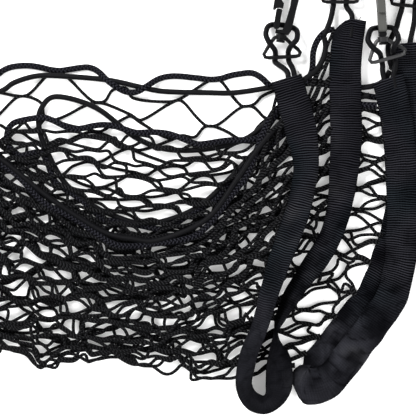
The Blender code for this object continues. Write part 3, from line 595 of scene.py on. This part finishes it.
def sleeveRing(letter, row, heading, along, total, turnedBack):
    # The points round a sleeve at one place, those of its inner side, and their shades. The cloth
    # wanders and creases most where it is crumpled, and its mouths puff up round the cords.
    values, seed = sleeveSettings, sleeveSettings["seeds"][letter]
    middle, side, width = row
    face, share, ends = side.cross(heading).normalized(), along / total, (along, total - along)
    creased, puffed, shaded = [
        shareOf(values[name][letter], share) for name in ("creased", "puffed", "shaded")]
    free = smoothStep(min(ends) / values["freeAfter"])
    far, over = values["sway"]
    sway = creased * far * waver(along / over, seed, 0.5) * free
    far, over = values["narrowing"]
    half = width / 2 * (1 + far * creased * waver(along / over, seed, 4.5) * free)
    over, drawnIn = values["corner"]
    turn = smoothStep(1 - abs(share - turnedBack) * total / over) if turnedBack else 0.0
    ring, core, shades = [], [], []
    for number in range(values["around"]):
        angle = 2 * math.pi * number / values["around"]
        place, level = [math.copysign(abs(wave) ** power, wave) for wave, power in zip(
            (math.cos(angle), math.sin(angle)), values["square"])]
        puff = 0.4 + waver(along / 13, place * 1.6, seed + 2)
        tall = values["thick"] / 2 + puffed * max(0.0, level) * puff
        shift = 0.0
        for slant, end in zip(values["slants"][letter], ends):
            past = max(0.0, place) ** 1.6 if letter == "a" else place
            shift += slant * past * smoothStep(1 - end / values["slantOver"])
        for end, where, deep in values["cordsIn"][letter]:
            wide, high = values["cordBulge"]
            near = math.exp(-((place * half - where) / wide) ** 2) * smoothStep(
                1.5 - ends[end] / deep)
            tall = max(tall, values["thick"] / 2 + high * near)
        fold = waver(along / 10, place * 1.3, seed + 7)
        ripple = waver(along / 15, place * 0.9, seed + 5)
        crease = max(0.0, 1 - abs(fold) * 6) ** 2
        lift = creased * free * (0.8 * ripple - 0.6 * crease * max(0.0, level))
        corner = Vector((0.98, -0.12, 0.0)) * (drawnIn * abs(place) ** 2.2 * turn)
        base = middle + side * (place * half + sway) + heading * shift + corner
        ring.append(base + face * (tall * level + lift))
        core.append(base - side * (place * values["wall"])
                    + face * ((tall - values["wall"]) * level + lift))
        # painted shade in the creases, painted light on the ripples
        shades.append(shaded * max(0.25, min(1.5, 1.0 + creased * (0.9 * ripple - 0.6 * crease))))
    lifted = Vector((0, 0, max(0.0, values["lowest"] - min(point.z for point in ring))))
    return [point + lifted for point in ring], [point + lifted for point in core], shades


def makeSleeve(letter, form, turnedBack=0.0):
    # A flat tube of webbing with an inner side, open at its mouths.
    values, maker = sleeveSettings, MeshMaker()
    around, count = values["around"], round(form.line.lengths[-1] / values["spacing"])
    fractions = [number / around for number in range(around + 1)]
    rows = []
    for index in range(count + 1):
        place = form.line.at(index / count)
        rows.append((*form.middle(place), place[3]))
    middles, long = [row[0] for row in rows], [0.0]
    for start, end in zip(middles, middles[1:]):
        long.append(long[-1] + (end - start).length)
    outer, inner, mouths = [], [], []
    for index, (row, along) in enumerate(zip(rows, long)):
        heading = headingAt(middles, index)
        ring, core, shades = sleeveRing(letter, row, heading, along, long[-1], turnedBack)
        outer.append((maker.addRing(ring, shades), along))
        # the inner side gets painted shade
        inner.append((maker.addRing(core, [values["insideShade"]] * around), along))
        if index in (0, count):
            mouths.append((ring, heading * (-1 if index == 0 else 1)))
    for (first, low), (second, high) in zip(outer, outer[1:]):
        maker.joinRings(second, first, (high, low), fractions)
    for (first, low), (second, high) in zip(inner, inner[1:]):
        maker.joinRings(first, second, (low, high), fractions)
    maker.joinRings(outer[0][0], inner[0][0], (1, 0), fractions)
    maker.joinRings(inner[-1][0], outer[-1][0], (long[-1] + 1, long[-1]), fractions)
    for ring, outward in mouths:
        addThreads(maker, ring, outward, values["seeds"][letter])
    piece = maker.build("sleeve" + letter.upper(), webbing)
    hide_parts("sleeve_" + letter)
    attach(piece, "net_body")
    long[-1] * 0.001


def addThreads(maker, ring, outward, seed):
    # Loose warp threads at a cut end.
    least, more = sleeveSettings["threadReach"]
    for number in range(sleeveSettings["threads"]):
        turn = waverVector(number * 3.1, seed, ring[0].x * 0.1)
        root = ring[(number * 11 + int(9 * abs(turn.x))) % len(ring)]
        reach = least + more * abs(turn.z)
        bend = outward + Vector((turn.x, turn.y, 0.25))
        maker.addTube([root - outward * 1.2, root + outward * reach * 0.3,
                       root + outward * reach * 0.55 + bend * reach * 0.2,
                       root + outward * reach * 0.6 + bend * reach * 0.6],
                      sleeveSettings["threadRadius"], 4)


sleeveForms = {"a": SleeveForm(sleeveSettings["a"]),
               "b": SleeveForm(sleeveSettings["b"], sleeveSettings["hairpin"])}
makeSleeve("a", sleeveForms["a"])
makeSleeve("b", sleeveForms["b"], sleeveSettings["turnedBack"])
print("stage: sleeves")


# The net is one sheet of cords from sleeve a to sleeve b, folded once at foldColumn and once at
# foldRow into the layers front, second, third and last, from the top down.
netSettings = {
    "columns": 13, "foldColumn": 6, "rows": 46, "foldRow": 23,
    "cord": 2.5, "sides": 8, "spacing": 1.5, "lowest": 0.1,
    # how long a junction is, how far its cords lie aside and how far one lies over the other,
    # and the same for the fold between two layers
    "junction": 4.8, "spread": 0.9, "stack": 0.35, "foldSpread": 0.2, "foldStack": 1.0,
    # the length of a bar between two junctions, how far it may bow aside, and how much longer the
    # front's bars are beside its sleeve and over how many columns
    "bars": {"front": 25.0, "second": 23.0, "third": 23.0, "last": 22.5}, "bow": 6.0,
    "beside": (4.0, 2.3),
    # how far the braid stands out at a junction, how much more between two, and how sharply
    "margin": 4.8, "marginSides": 14, "marginThick": 0.62, "hump": (1.2, 3.4, 1.4),
    # wandering of the junctions: change by column and by row, seed, how far along and across
    "wander": ((0.75, 0.21, 0.0, 6, 6), (1.9, 0.9, 4.0, 4.5, 4)),
    # the size of the spots where all layers are drawn together or apart, and how far
    "clumps": (19.0, 11.0), "drawn": (5.0, 5.0), "gather": (17.0, 14.0, 4.8),
    "seeds": {"front": 1.3, "second": 7.9, "third": 13.1, "last": 21.7},
    # the row of meshes that each row of layerTable stands for, counted from the long edge
    "rowsAt": {"front": (0, 7, 15, 23), "second": (0, 7.5, 15, 23),
               "third": (0, 9.5, 16.5, 23), "last": (0, 7, 14, 23)},
    "heights": {"front": 11.9, "second": 8.9, "third": 5.1, "last": 1.6},
    # the sleeve that each layer hangs on, and how far along it the rows of layerTable begin
    "seams": {"front": ("a", (0.02, 0.15, 0.265, 0.405)),
              "second": ("a", (0.98, 0.865, 0.68, 0.505)),
              "third": ("b", (0.035, 0.152, 0.27, 0.47)),
              "last": ("b", (0.925, 0.794, 0.688, 0.515))},
    # how far each layer reaches from its sleeve and how deep it is as it lies, metres, and the
    # share of that rectangle that it covers
    "flats": {"front": (0.31, 0.20), "second": (0.30, 0.20), "third": (0.35, 0.20),
              "last": (0.38, 0.20)}, "covered": 0.55,
    # junctions of the last layer that show clearly: column, row, x, y
    "pinnedRows": 12,
    "pins": ((10, 0, 3.1, 100.6), (9, 0, -60.8, 90.5), (8, 0, -117.8, 106.1),
             (10.5, 1, 30.4, 79.6), (9.5, 1, -25.7, 83.5), (8.5, 1, -85.8, 82.7),
             (7.5, 1, -145.1, 87.4), (11, 2, 49.9, 70.2), (10, 2, 2.3, 64.0), (9, 2, -56.9, 70.2),
             (8, 2, -123.2, 69.4), (10.5, 3, 30.4, 52.3), (9.5, 3, -25.0, 54.6),
             (8.5, 3, -88.1, 60.1), (10, 4, 4.7, 38.2), (9, 4, -58.5, 45.2), (8, 4, -123.2, 48.4),
             (10.5, 5, 28.9, 31.2), (9.5, 5, -23.4, 33.5), (8.5, 5, -90.5, 35.9),
             (10, 6, -2.3, 25.0), (9, 6, -53.0, 25.7)),
}
netColumns, foldColumn = netSettings["columns"], netSettings["foldColumn"]
netRows, foldRow = netSettings["rows"], netSettings["foldRow"]
nearLayers, outerLayers = ("front", "second"), ("front", "last")
foldedOn = {"front": "second", "second": "front", "last": "third", "third": "last"}
# Where the layers are folded on each other, from the sleeve to the fold on the left.
nearFold = ((22, -129), (-2, -132), (-37, -125), (-70, -119), (-100, -120), (-131, -122),
            (-159, -114), (-201, -107), (-245, -101))
farFold = ((59, -129), (42, -129), (21, -126), (-2, -125), (-37, -115), (-70, -109),
           (-100, -110), (-131, -111), (-159, -103), (-201, -98), (-240, -93))
# Each layer as rows from its sleeve to its fold, beginning with its long edge.
layerTable = {
    "front": (
        ((52, 86), (42, 52), (27, 17), (3, -15), (-38, -32), (-80, -27), (-131, 5), (-162, 30),
         (-209, 57), (-238, 67)),
        ((63, 14), (47, -4), (24, -27), (-6, -47), (-45, -56), (-84, -51), (-123, -33),
         (-162, -11), (-209, 10), (-241, 14)),
        ((48, -46), (32, -62), (5, -77), (-30, -86), (-69, -84), (-115, -73), (-162, -62),
         (-209, -50), (-243, -44)),
        nearFold),
    "second": (
        ((97, 134), (82, 107), (60, 74), (36, 52), (-2, 48), (-40, 55), (-76, 60), (-104, 60),
         (-131, 66), (-154, 61)),
        ((95, 62), (74, 35), (52, 17), (21, 6), (-14, 4), (-53, 8), (-88, 17), (-123, 25),
         (-154, 28), (-178, 23)),
        ((75, -33), (56, -43), (25, -41), (-14, -39), (-53, -34), (-92, -29), (-131, -27),
         (-170, -25), (-207, -21)),
        nearFold),
    "third": (
        ((131, 79), (104, 75), (83, 67), (62, 54), (40, 38), (19, 17), (-3, -3), (-27, -16),
         (-53, -18), (-79, -11), (-98, 0), (-118, 17), (-133, 39), (-154, 55)),
        ((138, 14), (107, 10), (80, 2), (48, -11), (17, -29), (-22, -42), (-61, -42),
         (-100, -29), (-135, -11), (-178, 22)),
        ((135, -49), (99, -50), (72, -60), (37, -72), (-6, -80), (-53, -76), (-100, -60),
         (-154, -42), (-207, -21)),
        farFold),
    "last": (
        ((147, 84), (122, 88), (95, 97), (71, 100), (47, 101), (13, 102), (-22, 101), (-61, 92),
         (-88, 107), (-123, 108), (-154, 110), (-186, 98), (-217, 82), (-238, 67)),
        ((141, 14), (111, 19), (72, 20), (33, 16), (-6, 14), (-53, 17), (-100, 22), (-147, 22),
         (-201, 18), (-241, 12)),
        ((126, -40), (99, -44), (64, -44), (35, -37), (0, -30), (-30, -28), (-61, -25),
         (-100, -24), (-140, -27), (-170, -31), (-201, -36), (-243, -42)),
        farFold),
}
# The edge braid of the second layer leaves its sleeve by marginHead and turns to the third at the
# fold by marginTurn. That of the front layer leaves by marginMouth.
marginHead = ((98, 139, 8.6), (92.5, 138, 9.4), (87, 133, 9.6), (83.6, 127, 9.5), (81.8, 120, 9.3),
              (81.6, 113, 9.1), (80.6, 106, 8.9), (76.5, 98.5, 8.8))
marginTurn = ((-146.6, 67.9, 8.6), (-153.5, 64.5, 8.2), (-156.6, 58, 7.6), (-156, 50, 7.0),
              (-151.5, 44.5, 6.4), (-145.5, 41.0, 6.0))
marginMouth = ((66, 84, 9.8), (58, 80, 10.6), (50.5, 74, 12.0), (45.5, 64, 12.6), (40, 51, 12.6))
# The edge braid of the last layer, from its sleeve to the fold and round to the front, at height
# 1.6 where none is given. It passes over the elastic on both sides of a junction.
marginLast = (
    (147, 84, 2.0), (135, 86, 1.8), (122, 88), (108, 92), (95, 96), (80, 97.5), (66, 96),
    (58, 94.5), (51.5, 94.4, 3.2), (46.8, 96.7, 7.4), (42.9, 100.6, 6.6), (38.2, 104.1, 3.0),
    (32.8, 105.7), (25, 104.9), (17.2, 103.4), (10.9, 101.4), (5.5, 100.6), (0, 100.6),
    (-6.2, 101.4), (-14, 102.2), (-21.8, 103), (-29.6, 103), (-35.9, 101.8, 1.8),
    (-40.6, 99.8, 3.4), (-45.2, 96.7, 6.6), (-49.9, 93.6, 8.4), (-54.6, 90.9, 7.4),
    (-60.1, 90.1, 5.0), (-65.5, 91.3, 5.6), (-70.2, 93.6, 8.0), (-74.9, 96.7, 8.7),
    (-79.6, 100.6, 7.4), (-84.2, 105.3, 4.0), (-88.1, 108.2, 2.0), (-93.6, 110), (-99.8, 109.7),
    (-107.6, 108.5), (-115.4, 107.4), (-123.2, 108.1), (-131, 110), (-138.8, 111.2),
    (-146.6, 111.2), (-154.4, 110), (-160, 107.6), (-165, 104), (-172, 101), (-180, 101.5),
    (-188, 102), (-197, 98), (-206, 89), (-216, 84.5), (-226, 80), (-235, 72), (-240.5, 68, 3.4),
    (-241.5, 67.5, 6.5), (-240, 67, 9.6))


def extent(layer):
    # The first and last column and the first and last row of a layer.
    return ((0, foldColumn) if layer in nearLayers else (foldColumn, netColumns),
            (0, foldRow) if layer in outerLayers else (foldRow, netRows))


class NetForm:
    # Where each place of the folded sheet lies, by column and row.
    def __init__(self):
        self.lines = {name: [SmoothLine(points) for points in rows]
                      for name, rows in layerTable.items()}
        self.pins = []
        self.pins = [(column, row, Vector((x, y)) - self.place("last", column, row).xy)
                     for column, row, x, y in netSettings["pins"]]

    def pinned(self, layer, column, row):
        # How far the pinned junctions draw a place aside, and how free it still is.
        total, drawn = 0.5, Vector((0.0, 0.0))
        if layer == "last" and row < netSettings["pinnedRows"]:
            for pinColumn, pinRow, shift in self.pins:
                apart = (column - pinColumn) ** 2 + ((row - pinRow) / 2.2) ** 2
                weight = 1.0 / (apart + 0.01) ** 2
                total += weight
                drawn += shift * weight
        return drawn / total, 0.5 / total

    def shares(self, layer, column, row):
        # How far a place is from its sleeve to its fold, and from the long edge to the fold.
        along = (column / foldColumn if layer in nearLayers
                 else (netColumns - column) / (netColumns - foldColumn))
        down = row / foldRow if layer in outerLayers else (netRows - row) / (netRows - foldRow)
        return along, down

    def rowShare(self, layer, down):
        # The row of layerTable before a place, and how far the place is on the way to the next.
        places = [row / foldRow for row in netSettings["rowsAt"][layer]]
        low = max(index for index in range(len(places) - 1) if places[index] <= down + 1e-9)
        part = (down - places[low]) / (places[low + 1] - places[low])
        if low == len(places) - 2:  # the cords lie closer at the fold
            part += 0.4 * part * (1 - part)
        return low, part

    def seamShare(self, layer, down):
        # How far along its sleeve the layer hangs at this row.
        shares = netSettings["seams"][layer][1]
        low, part = self.rowShare(layer, min(down, 1.0))
        return shares[low] + (shares[low + 1] - shares[low]) * part

    def tuck(self, layer, column, row):
        # How far a cord's end runs in under its sleeve, which is less where that stands on edge.
        share = self.seamShare(layer, self.shares(layer, column, row)[1])
        sleeve = sleeveForms[netSettings["seams"][layer][0]]
        return netSettings["junction"] * 0.5 * sleeve.flatness(share)

    def seam(self, layer, down):
        place = sleeveForms[netSettings["seams"][layer][0]].seam(self.seamShare(layer, down))
        if layer == "third":  # lower down its cords are caught at the edge that lies underneath
            below = self.seam("last", down) + Vector((0, 0, 0.7))
            place = place.lerp(below, smoothStep((down - 0.4) / 0.2))
        return place

    def place(self, layer, column, row):
        along, down = self.shares(layer, column, row)
        low, part = self.rowShare(layer, down)
        seam, pull = self.seam(layer, down), 0.3 - 0.2 * min(down, 1.0)
        point, mouth = [first.lerp(second, part) for first, second in (
            [Vector(line.at(share)[:2]) for line in self.lines[layer][low:low + 2]]
            for share in (along, 0.0))]
        if along < pull:  # near its sleeve the layer is drawn to the seam
            point += (seam.xy - mouth) * (1 - along / pull) ** 2
        point += self.pinned(layer, column, row)[0]
        level = netSettings["heights"][layer]
        return Vector((*point, level + (seam.z - level) * smoothStep(1 - along / 0.12)))

    def headings(self, layer, column, row):
        # The level directions along and across the cords at a place.
        (first, last), (top, bottom) = extent(layer)
        before, after = [self.place(layer, end, row) for end in (
            max(column - 0.08, first), min(column + 0.08, last))]
        above, below = [self.place(layer, column, end) for end in (
            max(row - 0.15, top), min(row + 0.15, bottom))]
        across = (after - before).xy.normalized()
        square = Vector((-across.y, across.x))
        if square.dot((below - above).xy) < 0:
            square = -square
        return Vector((*across, 0.0)), Vector((*square, 0.0))


def wander(form, layer, column, row):
    # A steady shift of a junction, the same for the same place, so the meshes aren't all alike.
    seed, x, y = netSettings["seeds"][layer], 0.0, 0.0
    for byColumn, byRow, more, wide, high in netSettings["wander"]:
        way = waverVector(column * byColumn, row * byRow, seed + more)
        x, y = x + way.x * wide, y + way.y * high
    down = row if layer in outerLayers else netRows - row
    edge = smoothStep(min(column / 0.7, (netColumns - column) / 1.2))
    held = smoothStep((down + 0.6) / 4) * (0.3 + 0.7 * smoothStep((foldRow - down) / 2.5))
    free = form.pinned(layer, column, row)[1]
    at, (wide, high) = form.place(layer, column, row), netSettings["clumps"]
    common = waverVector(at.x / wide, at.y / high, 5.5)
    wide, high = netSettings["drawn"]
    drawn = Vector((common.x * wide, common.y * high, 0.0))
    return Vector((x, y, 0.0)) * (edge * held * free) + drawn * (edge * smoothStep(down / 5) * free)


def gathered(line, rowsIn):
    # Draws the points of a cord to and fro with those of all layers, least where the last layer
    # shows alone, high in the picture and low in the heap, and keeps it on the floor.
    wide, high, amount = netSettings["gather"]
    lowest = netSettings["cord"] / 2 + netSettings["lowest"]
    along, total, moved = 0.0, lengthOf(line), []
    for index, point in enumerate(line):
        along += (point - line[max(index - 1, 0)]).length
        loose = smoothStep(min(along, total - along) / 12) * (0.3 + 0.7 * max(
            smoothStep((15 - point.y) / 45), smoothStep((point.z - 10) / 1.5)))
        shift = waverVector(point.x / wide, point.y / high, 3.3) * (
            amount * loose * smoothStep(rowsIn / 3))
        moved.append(Vector((point.x + shift.x, point.y + shift.y, max(point.z, lowest))))
    return moved


def bowed(layer, start, end, column, row):
    # The middle of a bar, which bows aside where its ends are nearer than the bar is long. The
    # front layer has more cord to spare beside its sleeve.
    chord = (end - start).length
    spare = max(0.0, netSettings["bars"][layer] - chord)
    if layer == "front":
        more, columns = netSettings["beside"]
        spare += more * smoothStep(columns - column)
    seed = netSettings["seeds"][layer] + 9.0
    lean = max(-1.0, min(1.0, 2.6 * waver(column * 2.3, row * 1.7, seed)))
    bow = min(netSettings["bow"], 0.62 * math.sqrt(chord * spare)) * lean
    heading = (end - start).normalized()
    return (start + end) / 2 + Vector((-heading.y, heading.x, 0.0)) * bow


def junctionReach(form, layer, column, row):
    # Half of a junction, drawn shorter where the meshes are pushed together.
    first, last = extent(layer)[0]
    low, high = max(first, column - 0.5), min(last, column + 0.5)
    apart = (form.place(layer, high, row) - form.place(layer, low, row)).xy.length
    return min(netSettings["junction"], 0.27 * (apart / (high - low) / 2))


def foldArc(point, outward, near, far, turns):
    # Part of the half circle in which a cord goes down round the fold, in sixths.
    top, bottom = netSettings["heights"][near], netSettings["heights"][far]
    radius, middle, arc = (top - bottom) / 2, (top + bottom) / 2, []
    for turn in turns:
        angle = math.pi * turn / 6
        bend = point + outward * (radius * math.sin(angle))
        bend.z = middle + radius * math.cos(angle)
        arc.append(bend)
    return arc


def cordPoints(form, number):
    # One cord from sleeve to sleeve, as lists of points by layer. It joins the cord above it and
    # the cord below it in turn, and lies beside each for the length of a junction.
    long, heights = netSettings["junction"], netSettings["heights"]
    near, far = ("front", "last") if number < foldRow else ("second", "third")
    runs = {near: [], far: []}
    stack = netSettings["stack"] if number % 2 else -netSettings["stack"]

    def reach(layer, column, points):
        # Adds points, after a bowed middle if the run already has an end to bow from.
        if runs[layer]:
            bow = bowed(layer, runs[layer][-1], points[0], column, number)
            bow.z += stack if layer != "last" else abs(stack)
            if (bow - (runs[layer][-1] + points[0]) / 2).xy.length > 1.0:
                runs[layer].append(bow)
        runs[layer] += points

    for step in range(2 * netColumns + 1):
        column = step / 2
        row = number if step % 2 == number % 2 else number + 1
        side = 1 if row == number else -1
        for layer in (near, far):
            first, last = extent(layer)[0]
            if not first <= column <= last:
                continue
            direction, square = form.headings(layer, column, row)
            shiftLayer = foldedOn[layer] if row == foldRow and layer not in outerLayers else layer
            point = form.place(layer, column, row) + wander(form, shiftLayer, column, row)
            offset = square * (side * netSettings["spread"])
            if row == foldRow:
                level = (heights[layer] + heights[foldedOn[layer]]) / 2
                above = 1 if layer in ("front", "third") else -1
                point.z = level + above * netSettings["foldStack"]
                offset = square * (side * netSettings["foldSpread"])
            point += offset
            seed = netSettings["seeds"][layer] + 2.0
            lean = waver(column * 1.3, row * 0.8, seed) * 0.5
            direction = Matrix.Rotation(lean, 3, "Z") @ direction
            if column == foldColumn and layer == near:
                arc = foldArc(point, direction, near, far, range(0, 4))
                reach(near, column, [point - direction * long, *arc])
            elif column == foldColumn:
                rest = foldArc(point, -direction, near, far, range(4, 7))
                runs[far] += [arc[-1], *rest, point + direction * long]
            else:
                before = after = junctionReach(form, layer, column, row)
                if column == 0:
                    before, after = form.tuck(layer, column, row), long * 0.6
                elif column == netColumns:
                    before, after = long * 0.6, form.tuck(layer, column, row)
                reach(layer, column, [point - direction * before, point + direction * after])
    return runs


def marginPoints(form, layer):
    # The braid along a long edge stands out between the junctions.
    first, last = extent(layer)[0]
    row, outward = (0, -1) if layer == "front" else (netRows, 1)
    points, (least, more, sharp) = [], netSettings["hump"]
    for step in range(first * 6, last * 6 + 1):
        column = step / 6
        if abs(column - foldColumn) < 0.4:
            continue
        hump = least + more * abs(math.sin(math.pi * column)) ** sharp
        square = form.headings(layer, column, row)[1]
        point = form.place(layer, column, row) + square * (hump * outward)
        point.z += 0.4
        points.append(point)
    return points


def makeNetting():
    form, cordLength, margins = NetForm(), 0.0, {}
    makers = {name: MeshMaker() for name in netSettings["heights"]}
    for number in range(netRows):
        for layer, points in cordPoints(form, number).items():
            line = SmoothLine(points, steps=6, measured=3, eased=True)
            line = line.evenly(netSettings["spacing"])
            line = gathered(line, number if layer in outerLayers else netRows - 1 - number)
            cordLength += lengthOf(line)
            makers[layer].addTube(line, netSettings["cord"] / 2, netSettings["sides"])
    print("net cord in all: %.1f m" % (cordLength / 1000))
    routes = {
        "marginNear": [*marginMouth, *marginPoints(form, "front")[6:],
                       *completed(marginLast, (0, 0, 1.6))[::-1]],
        "marginFar": [*marginHead, *marginPoints(form, "second")[5:], *marginTurn,
                      *marginPoints(form, "third")]}
    radius, thick = netSettings["margin"] / 2, netSettings["marginThick"]
    for name, route in routes.items():
        line = SmoothLine(route, steps=6, measured=3).evenly(netSettings["spacing"])
        line = [Vector((point.x, point.y, max(point.z, radius * thick + netSettings["lowest"])))
                for point in line]
        maker = MeshMaker()
        maker.addTube(line, radius, netSettings["marginSides"], thick)
        margins[name] = maker.build(name, marginBraid)
        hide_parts("net")
        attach(margins[name], "net_body")
    for layer, (width, long) in netSettings["flats"].items():
        piece = makers[layer].build("net" + layer.capitalize(), netCord)
        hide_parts("net")
        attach(piece, "net_body")
        margins["marginNear" if layer in outerLayers else "marginFar"]


makeNetting()
print("stage: netting")


for hookRow in hookTable:  # the hook on edge gets a painted sheen on its body, eye and gate
    finishes = (edgePlastic, wirePlastic, leafPlastic) if hookRow["onEdge"] else [hookPlastic] * 3
    for node, finish in zip(("hook_%d", "eye_%d", "gate_%d"), finishes):
        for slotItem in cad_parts[node % hookRow["number"]].material_slots:
            slotItem.material = finish
print("stage: hooks")


studioSettings = {
    "floor": 4.0, "floorTone": (0.93, 0.93, 0.93), "darker": 0.98, "grain": (60.0, 4.0),
    "floorGlow": 0.2, "glowTone": (1, 1, 0.985), "world": 1.05,
    "key": {"at": (-0.75, 0.9, 1.2), "size": 0.7, "power": 50.0},
    "fill": {"at": (0.9, -0.8, 1.2), "size": 1.2, "power": 16.0}}


def makeStudio(settings):
    bpy.ops.object.select_all(action="DESELECT")
    bpy.ops.mesh.primitive_plane_add(size=settings["floor"], location=(0, 0, 0))
    floor = bpy.context.object
    floor.name = "floor"
    finish = Finish("floorPaper", {
        "Roughness": 0.9, "Specular IOR Level": 0.1, "Emission Strength": settings["floorGlow"],
        "Emission Color": colour(settings["glowTone"])})
    grain = finish.speckle(finish.objectPlace(), *settings["grain"])
    tone = settings["floorTone"]
    darker = [settings["darker"] * value for value in tone]
    finish.out("Base Color", finish.mix(grain, colour(darker), colour(tone)))
    floor.data.materials.append(finish.material)
    world = bpy.data.worlds.new("softRoom")
    world.use_nodes = True
    background = world.node_tree.nodes["Background"]
    background.inputs[0].default_value = (1, 1, 1, 1)
    background.inputs[1].default_value = settings["world"]
    bpy.context.scene.world = world
    for name in ("key", "fill"):
        values = settings[name]
        data = bpy.data.lights.new(name, "AREA")
        data.shape, data.size, data.energy = "DISK", values["size"], values["power"]
        lamp = bpy.data.objects.new(name, data)
        bpy.context.scene.collection.objects.link(lamp)
        lamp.location = values["at"]
        lamp.rotation_euler = (-Vector(values["at"])).to_track_quat("-Z", "Y").to_euler()


makeStudio(studioSettings)
print("stage: studio")
